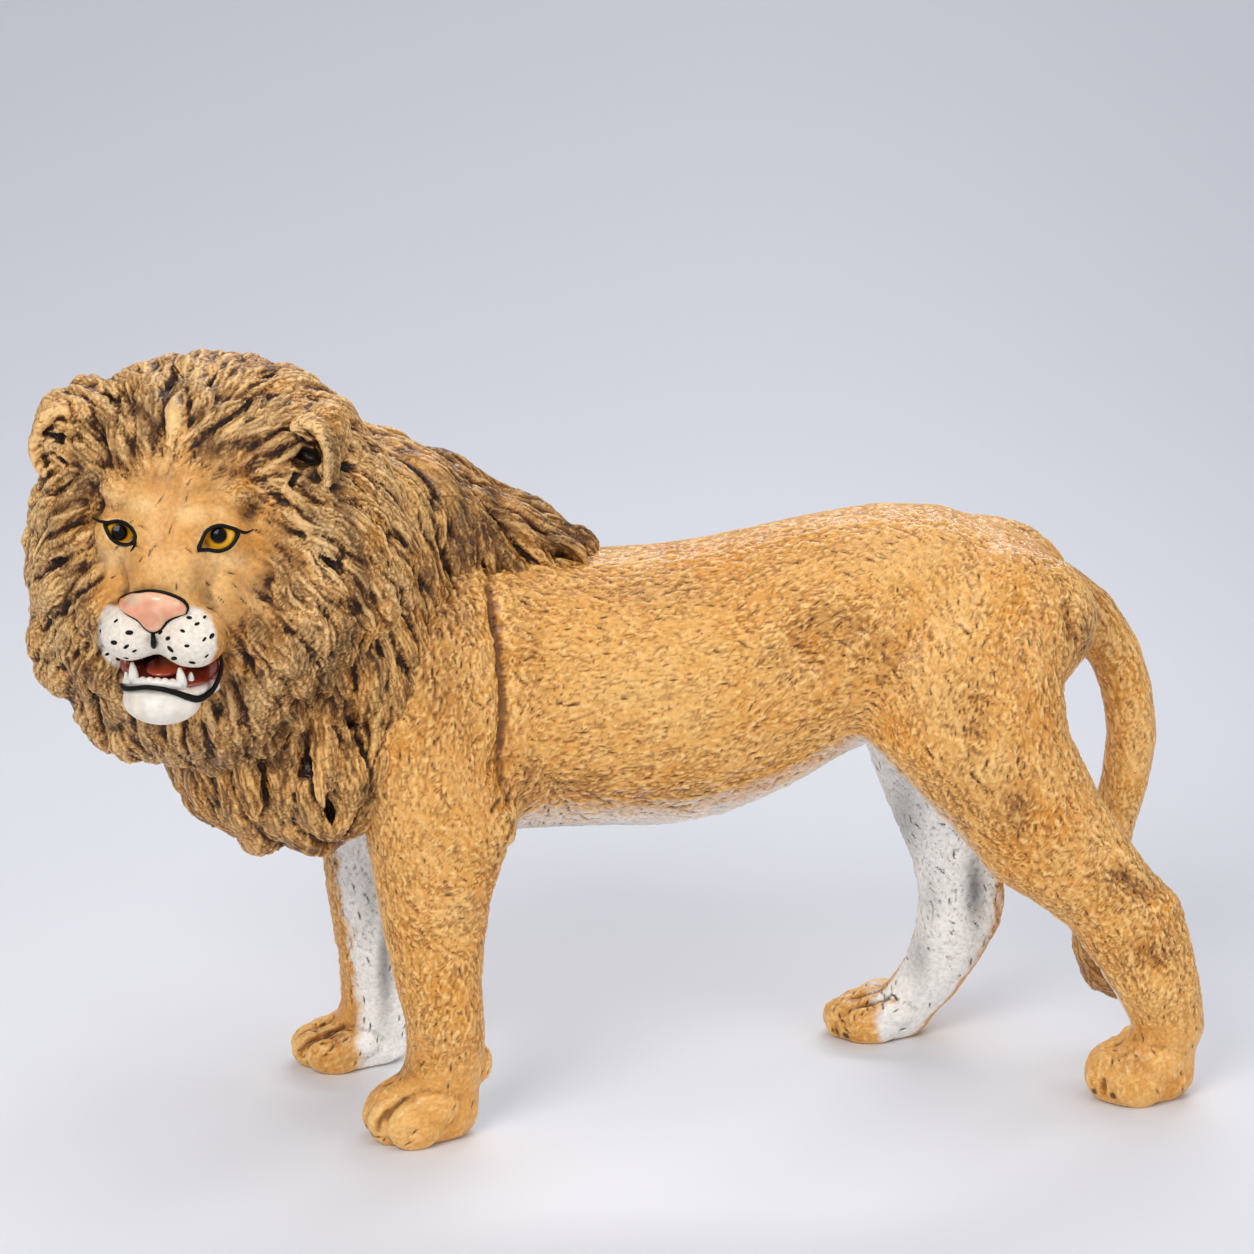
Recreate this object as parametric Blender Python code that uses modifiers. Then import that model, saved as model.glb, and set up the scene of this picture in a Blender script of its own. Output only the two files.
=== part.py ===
"""Standing male lion figure, moulded in PVC and painted by hand.

The figure comes apart into ten mouldings. The trunk is a left and a right half, joined on locating
pins along the spine. Four legs seat on flat faces of the halves, each on a keyed peg. The tail's root
sits in a socket in the rump. The mane is a collar that slides over the neck, the head plugs onto the
neck's spigot and holds it there, and the lower jaw's tenon plugs into the head.

The lion looks along -X, its left side is at -Y and it stands on Z = 0.
"""

import math

import bmesh
import bpy
from mathutils import Matrix, Vector

MM = 0.001

# Trunk
TRUNK_LENGTH = 96.0 * MM
RUMP_HEIGHT = 73.0 * MM
TRUNK_WIDTH = 29.0 * MM
CHEST_X = -38.0 * MM

# Legs
TRACK = 25.0 * MM
FRONT_LEG_HEIGHT = 68.0 * MM
FRONT_LEG_DEPTH = 18.0 * MM
FRONT_LEG_WIDTH = 12.4 * MM
FRONT_STEP = 6.5 * MM
HIND_LEG_HEIGHT = 62.0 * MM
HIND_LEG_DEPTH = 25.0 * MM
HIND_LEG_WIDTH = 12.6 * MM
PAW_LENGTH = 14.2 * MM
PAW_WIDTH = 12.4 * MM
PAW_HEIGHT = 8.0 * MM
FRONT_DRIFT = 1.3 * MM
HIND_DRIFT = 0.6 * MM

# Head: the ruff's outline, then the face in it
HEAD_WIDTH = 46.0 * MM
HEAD_HEIGHT = 48.5 * MM
HEAD_DEPTH = 35.0 * MM
FACE_WIDTH = 45.0 * MM
FACE_HEIGHT = 46.5 * MM
HEAD_TURN = math.radians(70.0)
HEAD_X = -47.0 * MM
HEAD_Y = -9.0 * MM
HEAD_Z = 72.5 * MM
MUZZLE_LENGTH = 24.0 * MM
EYE_SPACING = 11.4 * MM
EYE_RADIUS = 2.5 * MM
TOOTH_LENGTH = 2.6 * MM

# Mane and tail
MANE_LENGTH = 53.0 * MM
COLLAR_WIDTH = 35.0 * MM
LOCK_RADIUS = 2.5 * MM
TAIL_RADIUS = 3.2 * MM

# Joints between the mouldings
CLEARANCE = 0.3 * MM
KEEL_WIDTH = 10.0 * MM
PEG_RADIUS = 2.6 * MM
PEG_LENGTH = 3.0 * MM
PEG_KEY = 1.9 * MM
PIN_RADIUS = 1.5 * MM
PIN_LENGTH = 2.4 * MM
NECK_RADIUS = 6.0 * MM
NECK_REACH = 14.0 * MM

# Surface grain of the modelled forms
BODY_GRAIN = 1.1 * MM
HEAD_GRAIN = 0.8 * MM
JAW_GRAIN = 0.45 * MM
OVERRUN = 2.0 * MM
HAIR = 0.003 * MM

# Share of the facets that each fused form keeps
BODY_FACET_SHARE = 0.058
HEAD_FACET_SHARE = 0.067
MANE_FACET_SHARE = 0.064
JAW_FACET_SHARE = 0.10
TAIL_FACET_SHARE = 0.1

# Paints as linear colours, and the roughness of their satin lacquer
TAN = (0.52, 0.30, 0.10)
RUFF_BROWN = (0.42, 0.23, 0.08)
MANE_BROWN = (0.22, 0.11, 0.05)
TAIL_TAN = (0.48, 0.27, 0.09)
CHIN_WHITE = (0.80, 0.78, 0.72)
SATIN = 0.5

# Counts
RING_POINTS = 28
BALL_SEGMENTS = 24
BALL_RINGS = 14
RUFF_LOCKS = 17
APRON_LOCKS = 8

# Hair: the ruff under its locks as a share of the head, and a lock's radius and lift from root to tip
# as shares of LOCK_RADIUS
RUFF_SHARE = 0.94
LOCK_SHARES = (0.40, 0.80, 1.0, 0.95, 0.70, 0.28)
LOCK_LIFT_SHARES = (-0.60, -0.20, 0.08, 0.14, -0.05, -0.50)
LOCK_SWING_SHARE = 0.35

# Rows of the ruff's locks: angle from the face at the root, length and droop in degrees, and size as a
# share of a full lock
RUFF_ROW_SHARES = (
    (43.0, 36.0, 9.0, 0.66),
    (62.0, 42.0, 15.0, 0.86),
    (88.0, 44.0, 20.0, 0.96),
    (118.0, 38.0, 20.0, 0.9),
)

# The mane's forms under its locks, as shares of MANE_LENGTH, RUMP_HEIGHT and half of COLLAR_WIDTH along,
# up and aside: first a form's place, then its half-sizes along, aside and up
MANE_SHARES = {
    "collar": ((0.10, 0.875, -0.06), (0.245, 1.0, 0.270)),
    "apron": ((-0.036, 0.705, -0.08), (0.205, 0.81, 0.190)),
    "flap": ((0.063, 0.655, -0.10), (0.154, 0.90, 0.150)),
}

# Rows of the neck's locks on each side: place along MANE_LENGTH, angle down from the crest at the root,
# step from lock to lock and length in degrees, count, and size as a share of a full lock
NECK_ROW_SHARES = (
    (0.00, 24.0, 30.0, 42.0, 4, 0.95),
    (0.12, 10.0, 31.0, 44.0, 4, 1.05),
    (0.24, 22.0, 31.0, 42.0, 3, 0.95),
)

# Cape behind the withers: place along MANE_LENGTH, height as a share of RUMP_HEIGHT, sideways place and
# half-width and half-thickness as shares of half of COLLAR_WIDTH
CAPE_SHARES = (
    (-0.05, 1.040, -0.10, 0.66, 0.62),
    (0.14, 1.020, -0.05, 0.62, 0.52),
    (0.32, 0.985, 0.0, 0.52, 0.40),
    (0.47, 0.955, 0.0, 0.40, 0.29),
    (0.60, 0.935, 0.0, 0.26, 0.19),
    (0.70, 0.928, 0.0, 0.12, 0.10),
)

# Locks over the cape: place along MANE_LENGTH at root and tip, and sideways as a share of the cape
CAPE_LOCK_SHARES = (
    (0.02, 0.30, -0.75), (0.06, 0.34, 0.0), (0.02, 0.30, 0.75),
    (0.20, 0.48, -0.5), (0.20, 0.48, 0.5), (0.34, 0.62, -0.1),
)

# The apron's locks: where a row starts and ends aside, how far its middle stands forward and how much
# its ends fall back, each row's drop and size, and a lock's height, place along MANE_LENGTH and narrowing
APRON_SPREAD_SHARES = (-0.80, 0.65)
APRON_FRONT_SHARES = (-0.205, 0.105)
APRON_ROW_SHARES = ((0.0, 1.0), (-0.10, 0.9))
APRON_LOCK_SHARES = (
    (0.80, 0.0, 1.0), (0.73, -0.025, 1.0), (0.66, -0.02, 0.97), (0.60, 0.02, 0.92), (0.55, 0.075, 0.86),
    (0.52, 0.13, 0.80),
)

# Face, all as shares of FACE_WIDTH, FACE_HEIGHT and MUZZLE_LENGTH to the side, up and forward: first a
# form's place, then its half-sizes to the side, forward and up
FACE_SHARES = {
    "skull": ((0.0, 0.09, 0.33), (0.235, 0.42, 0.29)),
    "muzzle": ((0.0, -0.05, 0.62), (0.145, 0.26, 0.10)),
    "nose": ((0.0, 0.018, 0.915), (0.086, 0.080, 0.043)),
    "nose_tip": ((0.0, -0.025, 0.94), (0.035, 0.055, 0.034)),
}
FACE_PAIR_SHARES = {
    "cheek": ((0.155, -0.04, 0.38), (0.11, 0.28, 0.15)),
    "brow": ((0.10, 0.225, 0.58), (0.085, 0.12, 0.045)),
    "pad": ((0.073, -0.076, 0.80), (0.087, 0.165, 0.073)),
    "ear": ((0.335, 0.285, 0.36), (0.105, 0.085, 0.115)),
}
EYE_PLACE_SHARES = (0.155, 0.63)
EAR_HOLLOW_SHARES = ((0.335, 0.277, 0.45), (0.064, 0.075, 0.074))
BRIDGE_SHARES = ((0.25, 0.48, 0.100), (0.17, 0.62, 0.094), (0.09, 0.76, 0.084), (0.02, 0.87, 0.072))
MOUTH_SHARES = ((0.0, -0.168, 0.72), (0.115, 0.32, 0.052))

# Jaw, in the same shares; each tooth has its place to the side, height and thickness in TOOTH_LENGTH
JAW_SHARES = {
    "chin": ((0.0, -0.262, 0.70), (0.100, 0.200, 0.062)),
    "floor": ((0.0, -0.238, 0.47), (0.112, 0.35, 0.045)),
    "tongue": ((0.0, -0.190, 0.62), (0.064, 0.22, 0.022)),
}
TOOTH_SHARES = ((-0.062, 1.0, 0.30), (0.062, 1.0, 0.30), (-0.036, 0.55, 0.24), (-0.012, 0.55, 0.24),
                (0.012, 0.55, 0.24), (0.036, 0.55, 0.24))
TOOTH_TAPER_SHARES = (1.1, 1.0, 0.85, 0.45)

# Toes: place across PAW_WIDTH and back from the paw's rear edge along PAW_LENGTH
TOE_PLACE_SHARES = ((-0.345, 0.60), (-0.12, 0.75), (0.12, 0.75), (0.345, 0.60))

# Locating pins of the trunk halves: place along the trunk and up the rump's height
PIN_PLACE_SHARES = ((0.27, 0.74), (0.50, 0.72), (0.72, 0.82))

# Trunk sections from chest to rump: place along TRUNK_LENGTH, top and underside as shares of
# RUMP_HEIGHT, and width as a share of TRUNK_WIDTH
TRUNK_SHARES = (
    (0.00, 0.84, 0.60, 0.56),
    (0.05, 0.93, 0.54, 0.76),
    (0.12, 1.01, 0.50, 0.90),
    (0.20, 1.02, 0.485, 0.96),
    (0.28, 0.965, 0.485, 0.98),
    (0.38, 0.935, 0.485, 1.00),
    (0.46, 0.937, 0.48, 1.02),
    (0.53, 0.948, 0.495, 1.01),
    (0.60, 0.965, 0.53, 0.97),
    (0.67, 0.982, 0.58, 0.92),
    (0.74, 0.992, 0.625, 0.89),
    (0.81, 0.985, 0.635, 0.88),
    (0.88, 0.955, 0.635, 0.82),
    (0.94, 0.91, 0.66, 0.68),
    (0.98, 0.86, 0.72, 0.46),
)

# Leg sections from the foot up: height as a share of the leg's height, forward shift and depth as
# shares of its depth, width as a share of its width
FRONT_LEG_SHARES = (
    (0.02, -0.05, 0.50, 0.84),
    (0.12, 0.04, 0.55, 0.86),
    (0.16, 0.05, 0.52, 0.80),
    (0.22, 0.04, 0.53, 0.80),
    (0.29, 0.00, 0.58, 0.82),
    (0.37, -0.02, 0.66, 0.86),
    (0.44, -0.02, 0.75, 0.91),
    (0.51, 0.00, 0.87, 0.97),
    (0.57, 0.02, 0.98, 1.02),
    (0.63, -0.02, 1.01, 1.02),
    (0.70, -0.07, 0.97, 1.00),
    (0.80, -0.06, 0.97, 0.97),
    (0.91, -0.06, 0.86, 0.84),
    (0.99, -0.06, 0.60, 0.55),
)
HIND_LEG_BACK_SHARES = (
    (0.02, 0.86, 0.42, 0.78),
    (0.14, 0.985, 0.35, 0.74),
    (0.22, 0.91, 0.43, 0.66),
    (0.30, 0.83, 0.51, 0.67),
    (0.38, 0.73, 0.61, 0.71),
    (0.42, 0.65, 0.71, 0.75),
    (0.48, 0.46, 0.79, 0.81),
    (0.56, 0.32, 0.80, 0.87),
    (0.63, 0.18, 0.84, 0.94),
    (0.69, 0.08, 0.91, 0.98),
    (0.76, -0.04, 0.97, 1.02),
    (0.83, -0.06, 0.96, 1.00),
    (0.91, -0.04, 0.88, 0.90),
    (0.99, 0.00, 0.64, 0.66),
)
HIND_LEG_FORWARD_SHARES = (
    (0.02, -0.24, 0.36, 0.78),
    (0.12, -0.06, 0.37, 0.80),
    (0.16, 0.03, 0.38, 0.74),
    (0.20, 0.09, 0.40, 0.70),
    (0.25, 0.14, 0.44, 0.68),
    (0.30, 0.15, 0.44, 0.68),
    (0.38, 0.12, 0.46, 0.71),
    (0.43, 0.10, 0.52, 0.76),
    (0.51, 0.07, 0.63, 0.84),
    (0.60, 0.05, 0.77, 0.92),
    (0.72, 0.03, 0.90, 0.98),
    (0.83, 0.00, 0.96, 1.00),
    (0.91, 0.00, 0.88, 0.90),
    (0.99, 0.00, 0.66, 0.66),
)

# Tail from the rump to its tip: place along TRUNK_LENGTH, height as a share of RUMP_HEIGHT, radius as
# a share of TAIL_RADIUS and sideways shift as a share of TRACK
TAIL_SHARES = (
    (0.88, 0.86, 1.30, 0.00),
    (0.95, 0.83, 1.40, 0.00),
    (0.997, 0.79, 1.18, 0.00),
    (1.031, 0.73, 1.02, 0.01),
    (1.050, 0.66, 0.97, 0.02),
    (1.059, 0.58, 0.97, 0.04),
    (1.053, 0.50, 0.93, 0.06),
    (1.040, 0.42, 0.86, 0.08),
    (1.030, 0.34, 0.84, 0.10),
    (1.028, 0.27, 0.95, 0.12),
    (1.035, 0.21, 1.25, 0.13),
    (1.050, 0.162, 1.30, 0.14),
    (1.072, 0.137, 1.00, 0.14),
    (1.090, 0.130, 0.50, 0.14),
)

FRONT_ROOT_X = CHEST_X + 0.167 * TRUNK_LENGTH
HIND_ROOT_X = CHEST_X + 0.833 * TRUNK_LENGTH
FRONT_SEAT_Z = 0.76 * FRONT_LEG_HEIGHT
HIND_SEAT_Z = 0.82 * HIND_LEG_HEIGHT
HEAD_CENTRE = Vector((HEAD_X, HEAD_Y, HEAD_Z))
FACE = Vector((-math.cos(HEAD_TURN), -math.sin(HEAD_TURN), 0.0))
SIDE = Vector((math.sin(HEAD_TURN), -math.cos(HEAD_TURN), 0.0))
UP = Vector((0.0, 0.0, 1.0))
LATERAL = Vector((0.0, 1.0, 0.0))


def start_scene():
    """An empty scene with one collection for the mouldings and one for their cutters."""
    for old in list(bpy.data.objects):
        bpy.data.objects.remove(old, do_unlink=True)
    groups = []
    for name in ("Lion_Figure", "Cutters"):
        group = bpy.data.collections.new(name)
        bpy.context.scene.collection.children.link(group)
        groups.append(group)
    return groups


PARTS, CUTTERS = start_scene()


def guide(shape, name):
    """A bmesh as a closed wire object that the build leaves out."""
    mesh = bpy.data.meshes.new(name)
    bmesh.ops.recalc_face_normals(shape, faces=shape.faces)
    shape.to_mesh(mesh)
    shape.free()
    obj = bpy.data.objects.new(name, mesh)
    obj.hide_render = True
    obj.display_type = "WIRE"
    CUTTERS.objects.link(obj)
    return obj


def loft(name, rings):
    """A closed solid through rings of points, with a face on each end."""
    shape = bmesh.new()
    rows = [[shape.verts.new(point) for point in ring] for ring in rings]
    for low, high in zip(rows, rows[1:]):
        for i, corner in enumerate(low):
            j = (i + 1) % len(low)
            shape.faces.new((corner, low[j], high[j], high[i]))
    shape.faces.new(rows[0])
    shape.faces.new(rows[-1])
    return guide(shape, name)


def oval(centre, across, along, squareness=1.0):
    """Points round a centre between two half-axis vectors; squareness under 1 fills the corners."""
    ring = []
    for i in range(RING_POINTS):
        turn = 2.0 * math.pi * i / RING_POINTS
        c, s = math.cos(turn), math.sin(turn)
        u = math.copysign(abs(c) ** squareness, c)
        v = math.copysign(abs(s) ** squareness, s)
        ring.append(Vector(centre) + across * u + along * v)
    return ring


def swept(name, points, radii):
    """A round tube of changing radius along a path."""
    rings = []
    for i, (point, radius) in enumerate(zip(points, radii)):
        before = points[max(i - 1, 0)]
        after = points[min(i + 1, len(points) - 1)]
        along = (after - before).normalized()
        across = max((along.cross(axis) for axis in (UP, LATERAL)), key=lambda way: way.length)
        across.normalize()
        rings.append(oval(point, across * radius, along.cross(across) * radius))
    return loft(name, rings)


def ball(name, centre, radii, turn=None):
    """An ellipsoid, turned about its own centre."""
    shape = bmesh.new()
    place = Matrix.Translation(centre) @ (turn or Matrix.Identity(4))
    place = place @ Matrix.Diagonal((*radii, 1.0))
    bmesh.ops.create_uvsphere(shape, u_segments=BALL_SEGMENTS, v_segments=BALL_RINGS, radius=1.0, matrix=place)
    return guide(shape, name)


def rod(name, start, end, radius):
    """A plain round bar between two points."""
    along = end - start
    shape = bmesh.new()
    place = Matrix.Translation((start + end) / 2.0) @ along.to_track_quat("Z", "Y").to_matrix().to_4x4()
    bmesh.ops.create_cone(shape, cap_ends=True, segments=RING_POINTS, radius1=radius, radius2=radius,
                          depth=along.length, matrix=place)
    return guide(shape, name)


def slab(name, low, high, turn=None):
    """A box between two corners, given in the directions of its turn."""
    shape = bmesh.new()
    size = Vector(high) - Vector(low)
    place = Matrix.Translation((Vector(low) + Vector(high)) / 2.0) @ Matrix.Diagonal((*size, 1.0))
    bmesh.ops.create_cube(shape, size=1.0, matrix=(turn or Matrix.Identity(4)) @ place)
    return guide(shape, name)


def bake(obj):
    """Applies an object's modifiers to its mesh."""
    graph = bpy.context.evaluated_depsgraph_get()
    mesh = bpy.data.meshes.new_from_object(obj.evaluated_get(graph))
    obj.modifiers.clear()
    obj.data = mesh


def keep_largest(obj):
    """Removes the crumbs that a cut leaves beside the main body or hanging on it by a corner or a hair."""
    shape = bmesh.new()
    shape.from_mesh(obj.data)
    bmesh.ops.triangulate(shape, faces=shape.faces)
    bmesh.ops.dissolve_degenerate(shape, dist=HAIR, edges=shape.edges)
    unseen = set(shape.faces)
    bodies = []
    while unseen:
        body = [unseen.pop()]
        for face in body:
            for edge in face.edges:
                if len(edge.link_faces) == 2:
                    for other in edge.link_faces:
                        if other in unseen:
                            unseen.discard(other)
                            body.append(other)
        bodies.append(body)
    bodies.sort(key=len)
    bmesh.ops.delete(shape, geom=[face for body in bodies[:-1] for face in body], context="FACES")
    shape.to_mesh(obj.data)
    shape.free()


def combine(obj, tool, operation):
    """Cuts a tool from an object, joins it on, or keeps what both share."""
    change = obj.modifiers.new(operation.title(), "BOOLEAN")
    change.operation = operation
    change.object = tool
    change.use_self = True
    bake(obj)
    keep_largest(obj)


def fuse(name, pieces, grain, share, smoothing=6):
    """One smooth skin round overlapping pieces, as a sculptor blends them."""
    shape = bmesh.new()
    for piece in pieces:
        shape.from_mesh(piece.data)
        bpy.data.objects.remove(piece, do_unlink=True)
    blend = guide(shape, name)
    skin = blend.modifiers.new("Skin", "REMESH")
    skin.mode = "VOXEL"
    skin.voxel_size = grain
    relax = blend.modifiers.new("Relax", "SMOOTH")
    relax.factor = 0.5
    relax.iterations = smoothing
    thin = blend.modifiers.new("Thin", "DECIMATE")
    thin.ratio = share
    bake(blend)
    keep_largest(blend)
    return blend


def swollen(obj, amount):
    """A copy grown by a clearance, to cut a neighbour with."""
    copy = bpy.data.objects.new(obj.name + "_room", obj.data.copy())
    copy.hide_render = True
    copy.display_type = "WIRE"
    CUTTERS.objects.link(copy)
    grow = copy.modifiers.new("Grow", "DISPLACE")
    grow.strength = amount
    grow.mid_level = 0.0
    bake(copy)
    return copy


def copied(obj, name):
    """A second object with the same mesh of its own."""
    copy = bpy.data.objects.new(name, obj.data.copy())
    copy.hide_render = True
    copy.display_type = "WIRE"
    CUTTERS.objects.link(copy)
    return copy


def in_head(side, up, face):
    """A point given in the head's own directions."""
    return HEAD_CENTRE + SIDE * side + UP * up + FACE * face


def head_turn():
    """The matrix that turns X to the head's side and Y to its face."""
    return Matrix((SIDE, FACE, UP)).transposed().to_4x4()


def trunk_form():
    rings = []
    for along, top, under, wide in TRUNK_SHARES:
        high, low = top * RUMP_HEIGHT, under * RUMP_HEIGHT
        centre = (CHEST_X + along * TRUNK_LENGTH, 0.0, (high + low) / 2.0)
        rings.append(oval(centre, Vector((0.0, wide * TRUNK_WIDTH / 2.0, 0.0)),
                          UP * (high - low) / 2.0, 0.9))
    hips = []
    for side in (-1.0, 1.0):
        centre = (HIND_ROOT_X + 0.03 * TRUNK_LENGTH, side * 0.25 * TRUNK_WIDTH, 0.82 * RUMP_HEIGHT)
        hips.append(ball("hip", centre, (0.13 * TRUNK_LENGTH, 0.24 * TRUNK_WIDTH, 0.125 * RUMP_HEIGHT)))
    return [loft("barrel", rings)] + hips


def leg_form(shares, side, root_x, height, depth, width, step, drift):
    """A leg as level sections, swung forward by its step and aside by its drift, with its paw."""
    rings = []
    for up, shift, deep, wide in shares:
        swing = step * (1.0 - up) ** 0.6
        spread = TRACK / 2.0 * (1.0 - 0.14 * up)
        centre = (root_x + shift * depth - swing, side * spread + drift * (1.0 - up), up * height)
        rings.append(oval(centre, Vector((deep * depth / 2.0, 0.0, 0.0)),
                          Vector((0.0, wide * width / 2.0, 0.0)), 0.95))
    up, shift, deep, _ = shares[0]
    heel = root_x + (shift + deep / 2.0) * depth - step * (1.0 - up) ** 0.6 + 0.10 * PAW_LENGTH
    return [loft("limb", rings)] + paw_form(heel, side * TRACK / 2.0 + drift)


def paw_form(heel, middle):
    """A paw: a rounded palm and four toes spread round its front."""
    palm = ball("palm", (heel - 0.36 * PAW_LENGTH, middle, 0.40 * PAW_HEIGHT),
                (0.37 * PAW_LENGTH, 0.44 * PAW_WIDTH, 0.56 * PAW_HEIGHT))
    toes = []
    for out, back in TOE_PLACE_SHARES:
        centre = (heel - back * PAW_LENGTH, middle + out * PAW_WIDTH, 0.38 * PAW_HEIGHT)
        toes.append(ball("toe", centre, (0.25 * PAW_LENGTH, 0.145 * PAW_WIDTH, 0.50 * PAW_HEIGHT)))
    return [palm] + toes


def leg_region(name, side, centre_x, radius, seat_z, bend_z, low_z, low_front, low_back, grow):
    """The arched block of space that a leg fills beside the keel, from the sole to its seat."""
    outline = [(centre_x - radius - grow, low_z), (low_front, low_z), (low_front, -OVERRUN),
               (low_back, -OVERRUN), (low_back, low_z), (centre_x + radius + grow, bend_z)]
    for i in range(RING_POINTS + 1):
        turn = math.pi * i / RING_POINTS
        outline.append((centre_x + (radius + grow) * math.cos(turn),
                        seat_z + (radius + grow) * math.sin(turn)))
    near = side * (KEEL_WIDTH / 2.0 - grow)
    far = side * 2.0 * TRUNK_WIDTH
    return loft(name, [[(x, y, z) for x, z in outline] for y in (near, far)])


def keyed_peg(name, x, z, side, grow):
    """A leg's peg: a round boss across the keel face with a key that stops it turning."""
    inner = side * (KEEL_WIDTH / 2.0 - PEG_LENGTH - grow)
    outer = side * (KEEL_WIDTH / 2.0 + OVERRUN)
    peg = rod(name, Vector((x, outer, z)), Vector((x, inner, z)), PEG_RADIUS + grow)
    reach = PEG_RADIUS + PEG_KEY / 2.0 + grow
    half = PEG_KEY / 2.0 + grow
    low, high = sorted((inner + side * 0.25 * PEG_LENGTH, outer - side * 0.25 * PEG_LENGTH))
    key = slab(name + "_key", (x - half, low, z), (x + half, high, z + reach))
    combine(peg, key, "UNION")
    return peg


def neck_spigot(name, grow):
    """The neck's spigot, which the halves of the trunk share and the head plugs onto."""
    seat = Vector((CHEST_X + 0.09 * TRUNK_LENGTH, 0.0, 0.83 * RUMP_HEIGHT))
    way = Vector((HEAD_X, 0.0, HEAD_Z)) - seat
    way.normalize()
    start = seat - way * NECK_REACH / 2.0
    spigot = rod(name, start, seat + way * (NECK_REACH + grow), NECK_RADIUS + grow)
    key = slab(name + "_key", (-PEG_KEY / 2.0 - grow, 0.0, 0.1 * NECK_REACH),
               (PEG_KEY / 2.0 + grow, NECK_RADIUS + PEG_KEY / 2.0 + grow, 1.3 * NECK_REACH + grow),
               Matrix.Translation(start) @ way.to_track_quat("Z", "Y").to_matrix().to_4x4())
    combine(spigot, key, "UNION")
    return spigot


def ruff_point(polar, around, lift):
    """A point over the ruff, by its angle from the face and its angle round the face."""
    return in_head(
        (HEAD_WIDTH * RUFF_SHARE / 2.0 + lift) * math.sin(polar) * math.cos(around),
        (HEAD_HEIGHT * RUFF_SHARE / 2.0 + lift) * math.sin(polar) * math.sin(around),
        (HEAD_DEPTH * RUFF_SHARE / 2.0 + lift) * math.cos(polar),
    )


def uneven(row, i):
    """A value from -1 to 1 that makes neighbouring locks differ."""
    return math.sin(2.4 * i + 1.7 * row) * math.cos(1.3 * i - 0.9 * row)


def ruff_locks():
    """Staggered rows of locks that sweep back from the face and droop at its sides."""
    locks = []
    for row, (root, length, droop, size) in enumerate(RUFF_ROW_SHARES):
        for i in range(RUFF_LOCKS):
            around = 2.0 * math.pi * (i + 0.5 * row) / RUFF_LOCKS
            odd = uneven(row, i)
            path = []
            for k, rise in enumerate(LOCK_LIFT_SHARES):
                way = k / (len(LOCK_LIFT_SHARES) - 1)
                polar = math.radians(root + 4.0 * odd + length * (1.0 + 0.2 * odd) * way)
                hang = math.radians(droop) * math.cos(around) * way
                swing = LOCK_SWING_SHARE * odd * math.sin(math.pi * way) / RUFF_LOCKS
                path.append(ruff_point(polar, around - hang + swing, rise * LOCK_RADIUS))
            radius = size * (1.0 + 0.16 * odd) * LOCK_RADIUS
            locks.append(swept("lock", path, [share * radius for share in LOCK_SHARES]))
    return locks


def face_point(place):
    """A point of the face from its shares to the side, up and forward."""
    side, up, face = place
    return in_head(side * FACE_WIDTH, up * FACE_HEIGHT, face * MUZZLE_LENGTH)


def face_ball(name, place, half_sizes):
    """An ellipsoid on the face from shares of the face's sizes."""
    side, face, up = half_sizes
    return ball(name, face_point(place), (side * FACE_WIDTH, face * MUZZLE_LENGTH, up * FACE_HEIGHT),
                head_turn())


def face_pair(name, place, half_sizes):
    """The same form on each side of the face."""
    side, up, face = place
    return [face_ball(name, (hand * side, up, face), half_sizes) for hand in (-1.0, 1.0)]


def head_form():
    """Skull, ruff, face and ears as one form, before its mouth and sockets are cut."""
    ruff = ball("ruff", HEAD_CENTRE, (HEAD_WIDTH * RUFF_SHARE / 2.0, HEAD_DEPTH * RUFF_SHARE / 2.0,
                                      HEAD_HEIGHT * RUFF_SHARE / 2.0), head_turn())
    pieces = [ruff] + ruff_locks()
    for name, shares in FACE_SHARES.items():
        pieces.append(face_ball(name, *shares))
    for name, shares in FACE_PAIR_SHARES.items():
        pieces += face_pair(name, *shares)
    up, face = EYE_PLACE_SHARES
    for hand in (-1.0, 1.0):
        centre = in_head(hand * EYE_SPACING / 2.0, up * FACE_HEIGHT, face * MUZZLE_LENGTH)
        pieces.append(ball("eye", centre, (EYE_RADIUS,) * 3))
    pieces.append(swept("bridge", [face_point((0.0, high, out)) for high, out, _ in BRIDGE_SHARES],
                        [share * FACE_WIDTH for _, _, share in BRIDGE_SHARES]))
    form = fuse("head", pieces, HEAD_GRAIN, HEAD_FACET_SHARE, 3)
    for hollow in face_pair("ear_hollow", *EAR_HOLLOW_SHARES):
        combine(form, hollow, "DIFFERENCE")
    return form


def jaw_form():
    """Chin, lip, tongue and teeth, with the tenon that plugs into the head."""
    pieces = [face_ball(name, *shares) for name, shares in JAW_SHARES.items()]
    for out, tall, thick in TOOTH_SHARES:
        root = face_point((out, -0.212, 0.83 - 6.0 * out * out))
        tip = root + UP * tall * TOOTH_LENGTH
        pieces.append(swept("tooth", [root - UP * TOOTH_LENGTH / 2.0, root, (root + tip) / 2.0, tip],
                            [share * thick * TOOTH_LENGTH for share in TOOTH_TAPER_SHARES]))
    form = fuse("lower_jaw", pieces, JAW_GRAIN, JAW_FACET_SHARE, 2)
    tenon = jaw_tenon("tenon", 0.0)
    combine(form, tenon, "UNION")
    return form


def jaw_tenon(name, grow):
    """A square tenon behind the jaw."""
    half = 0.060 * FACE_WIDTH + grow
    return slab(name, (-half, 0.02 * MUZZLE_LENGTH - grow, -0.270 * FACE_HEIGHT - grow),
                (half, 0.50 * MUZZLE_LENGTH, -0.215 * FACE_HEIGHT + grow),
                Matrix.Translation(HEAD_CENTRE) @ head_turn())


def mane_point(along, high, out):
    """A point of the mane in shares of its length, the rump's height and half the collar's width."""
    return Vector((CHEST_X + along * MANE_LENGTH, out * COLLAR_WIDTH / 2.0, high * RUMP_HEIGHT))


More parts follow.
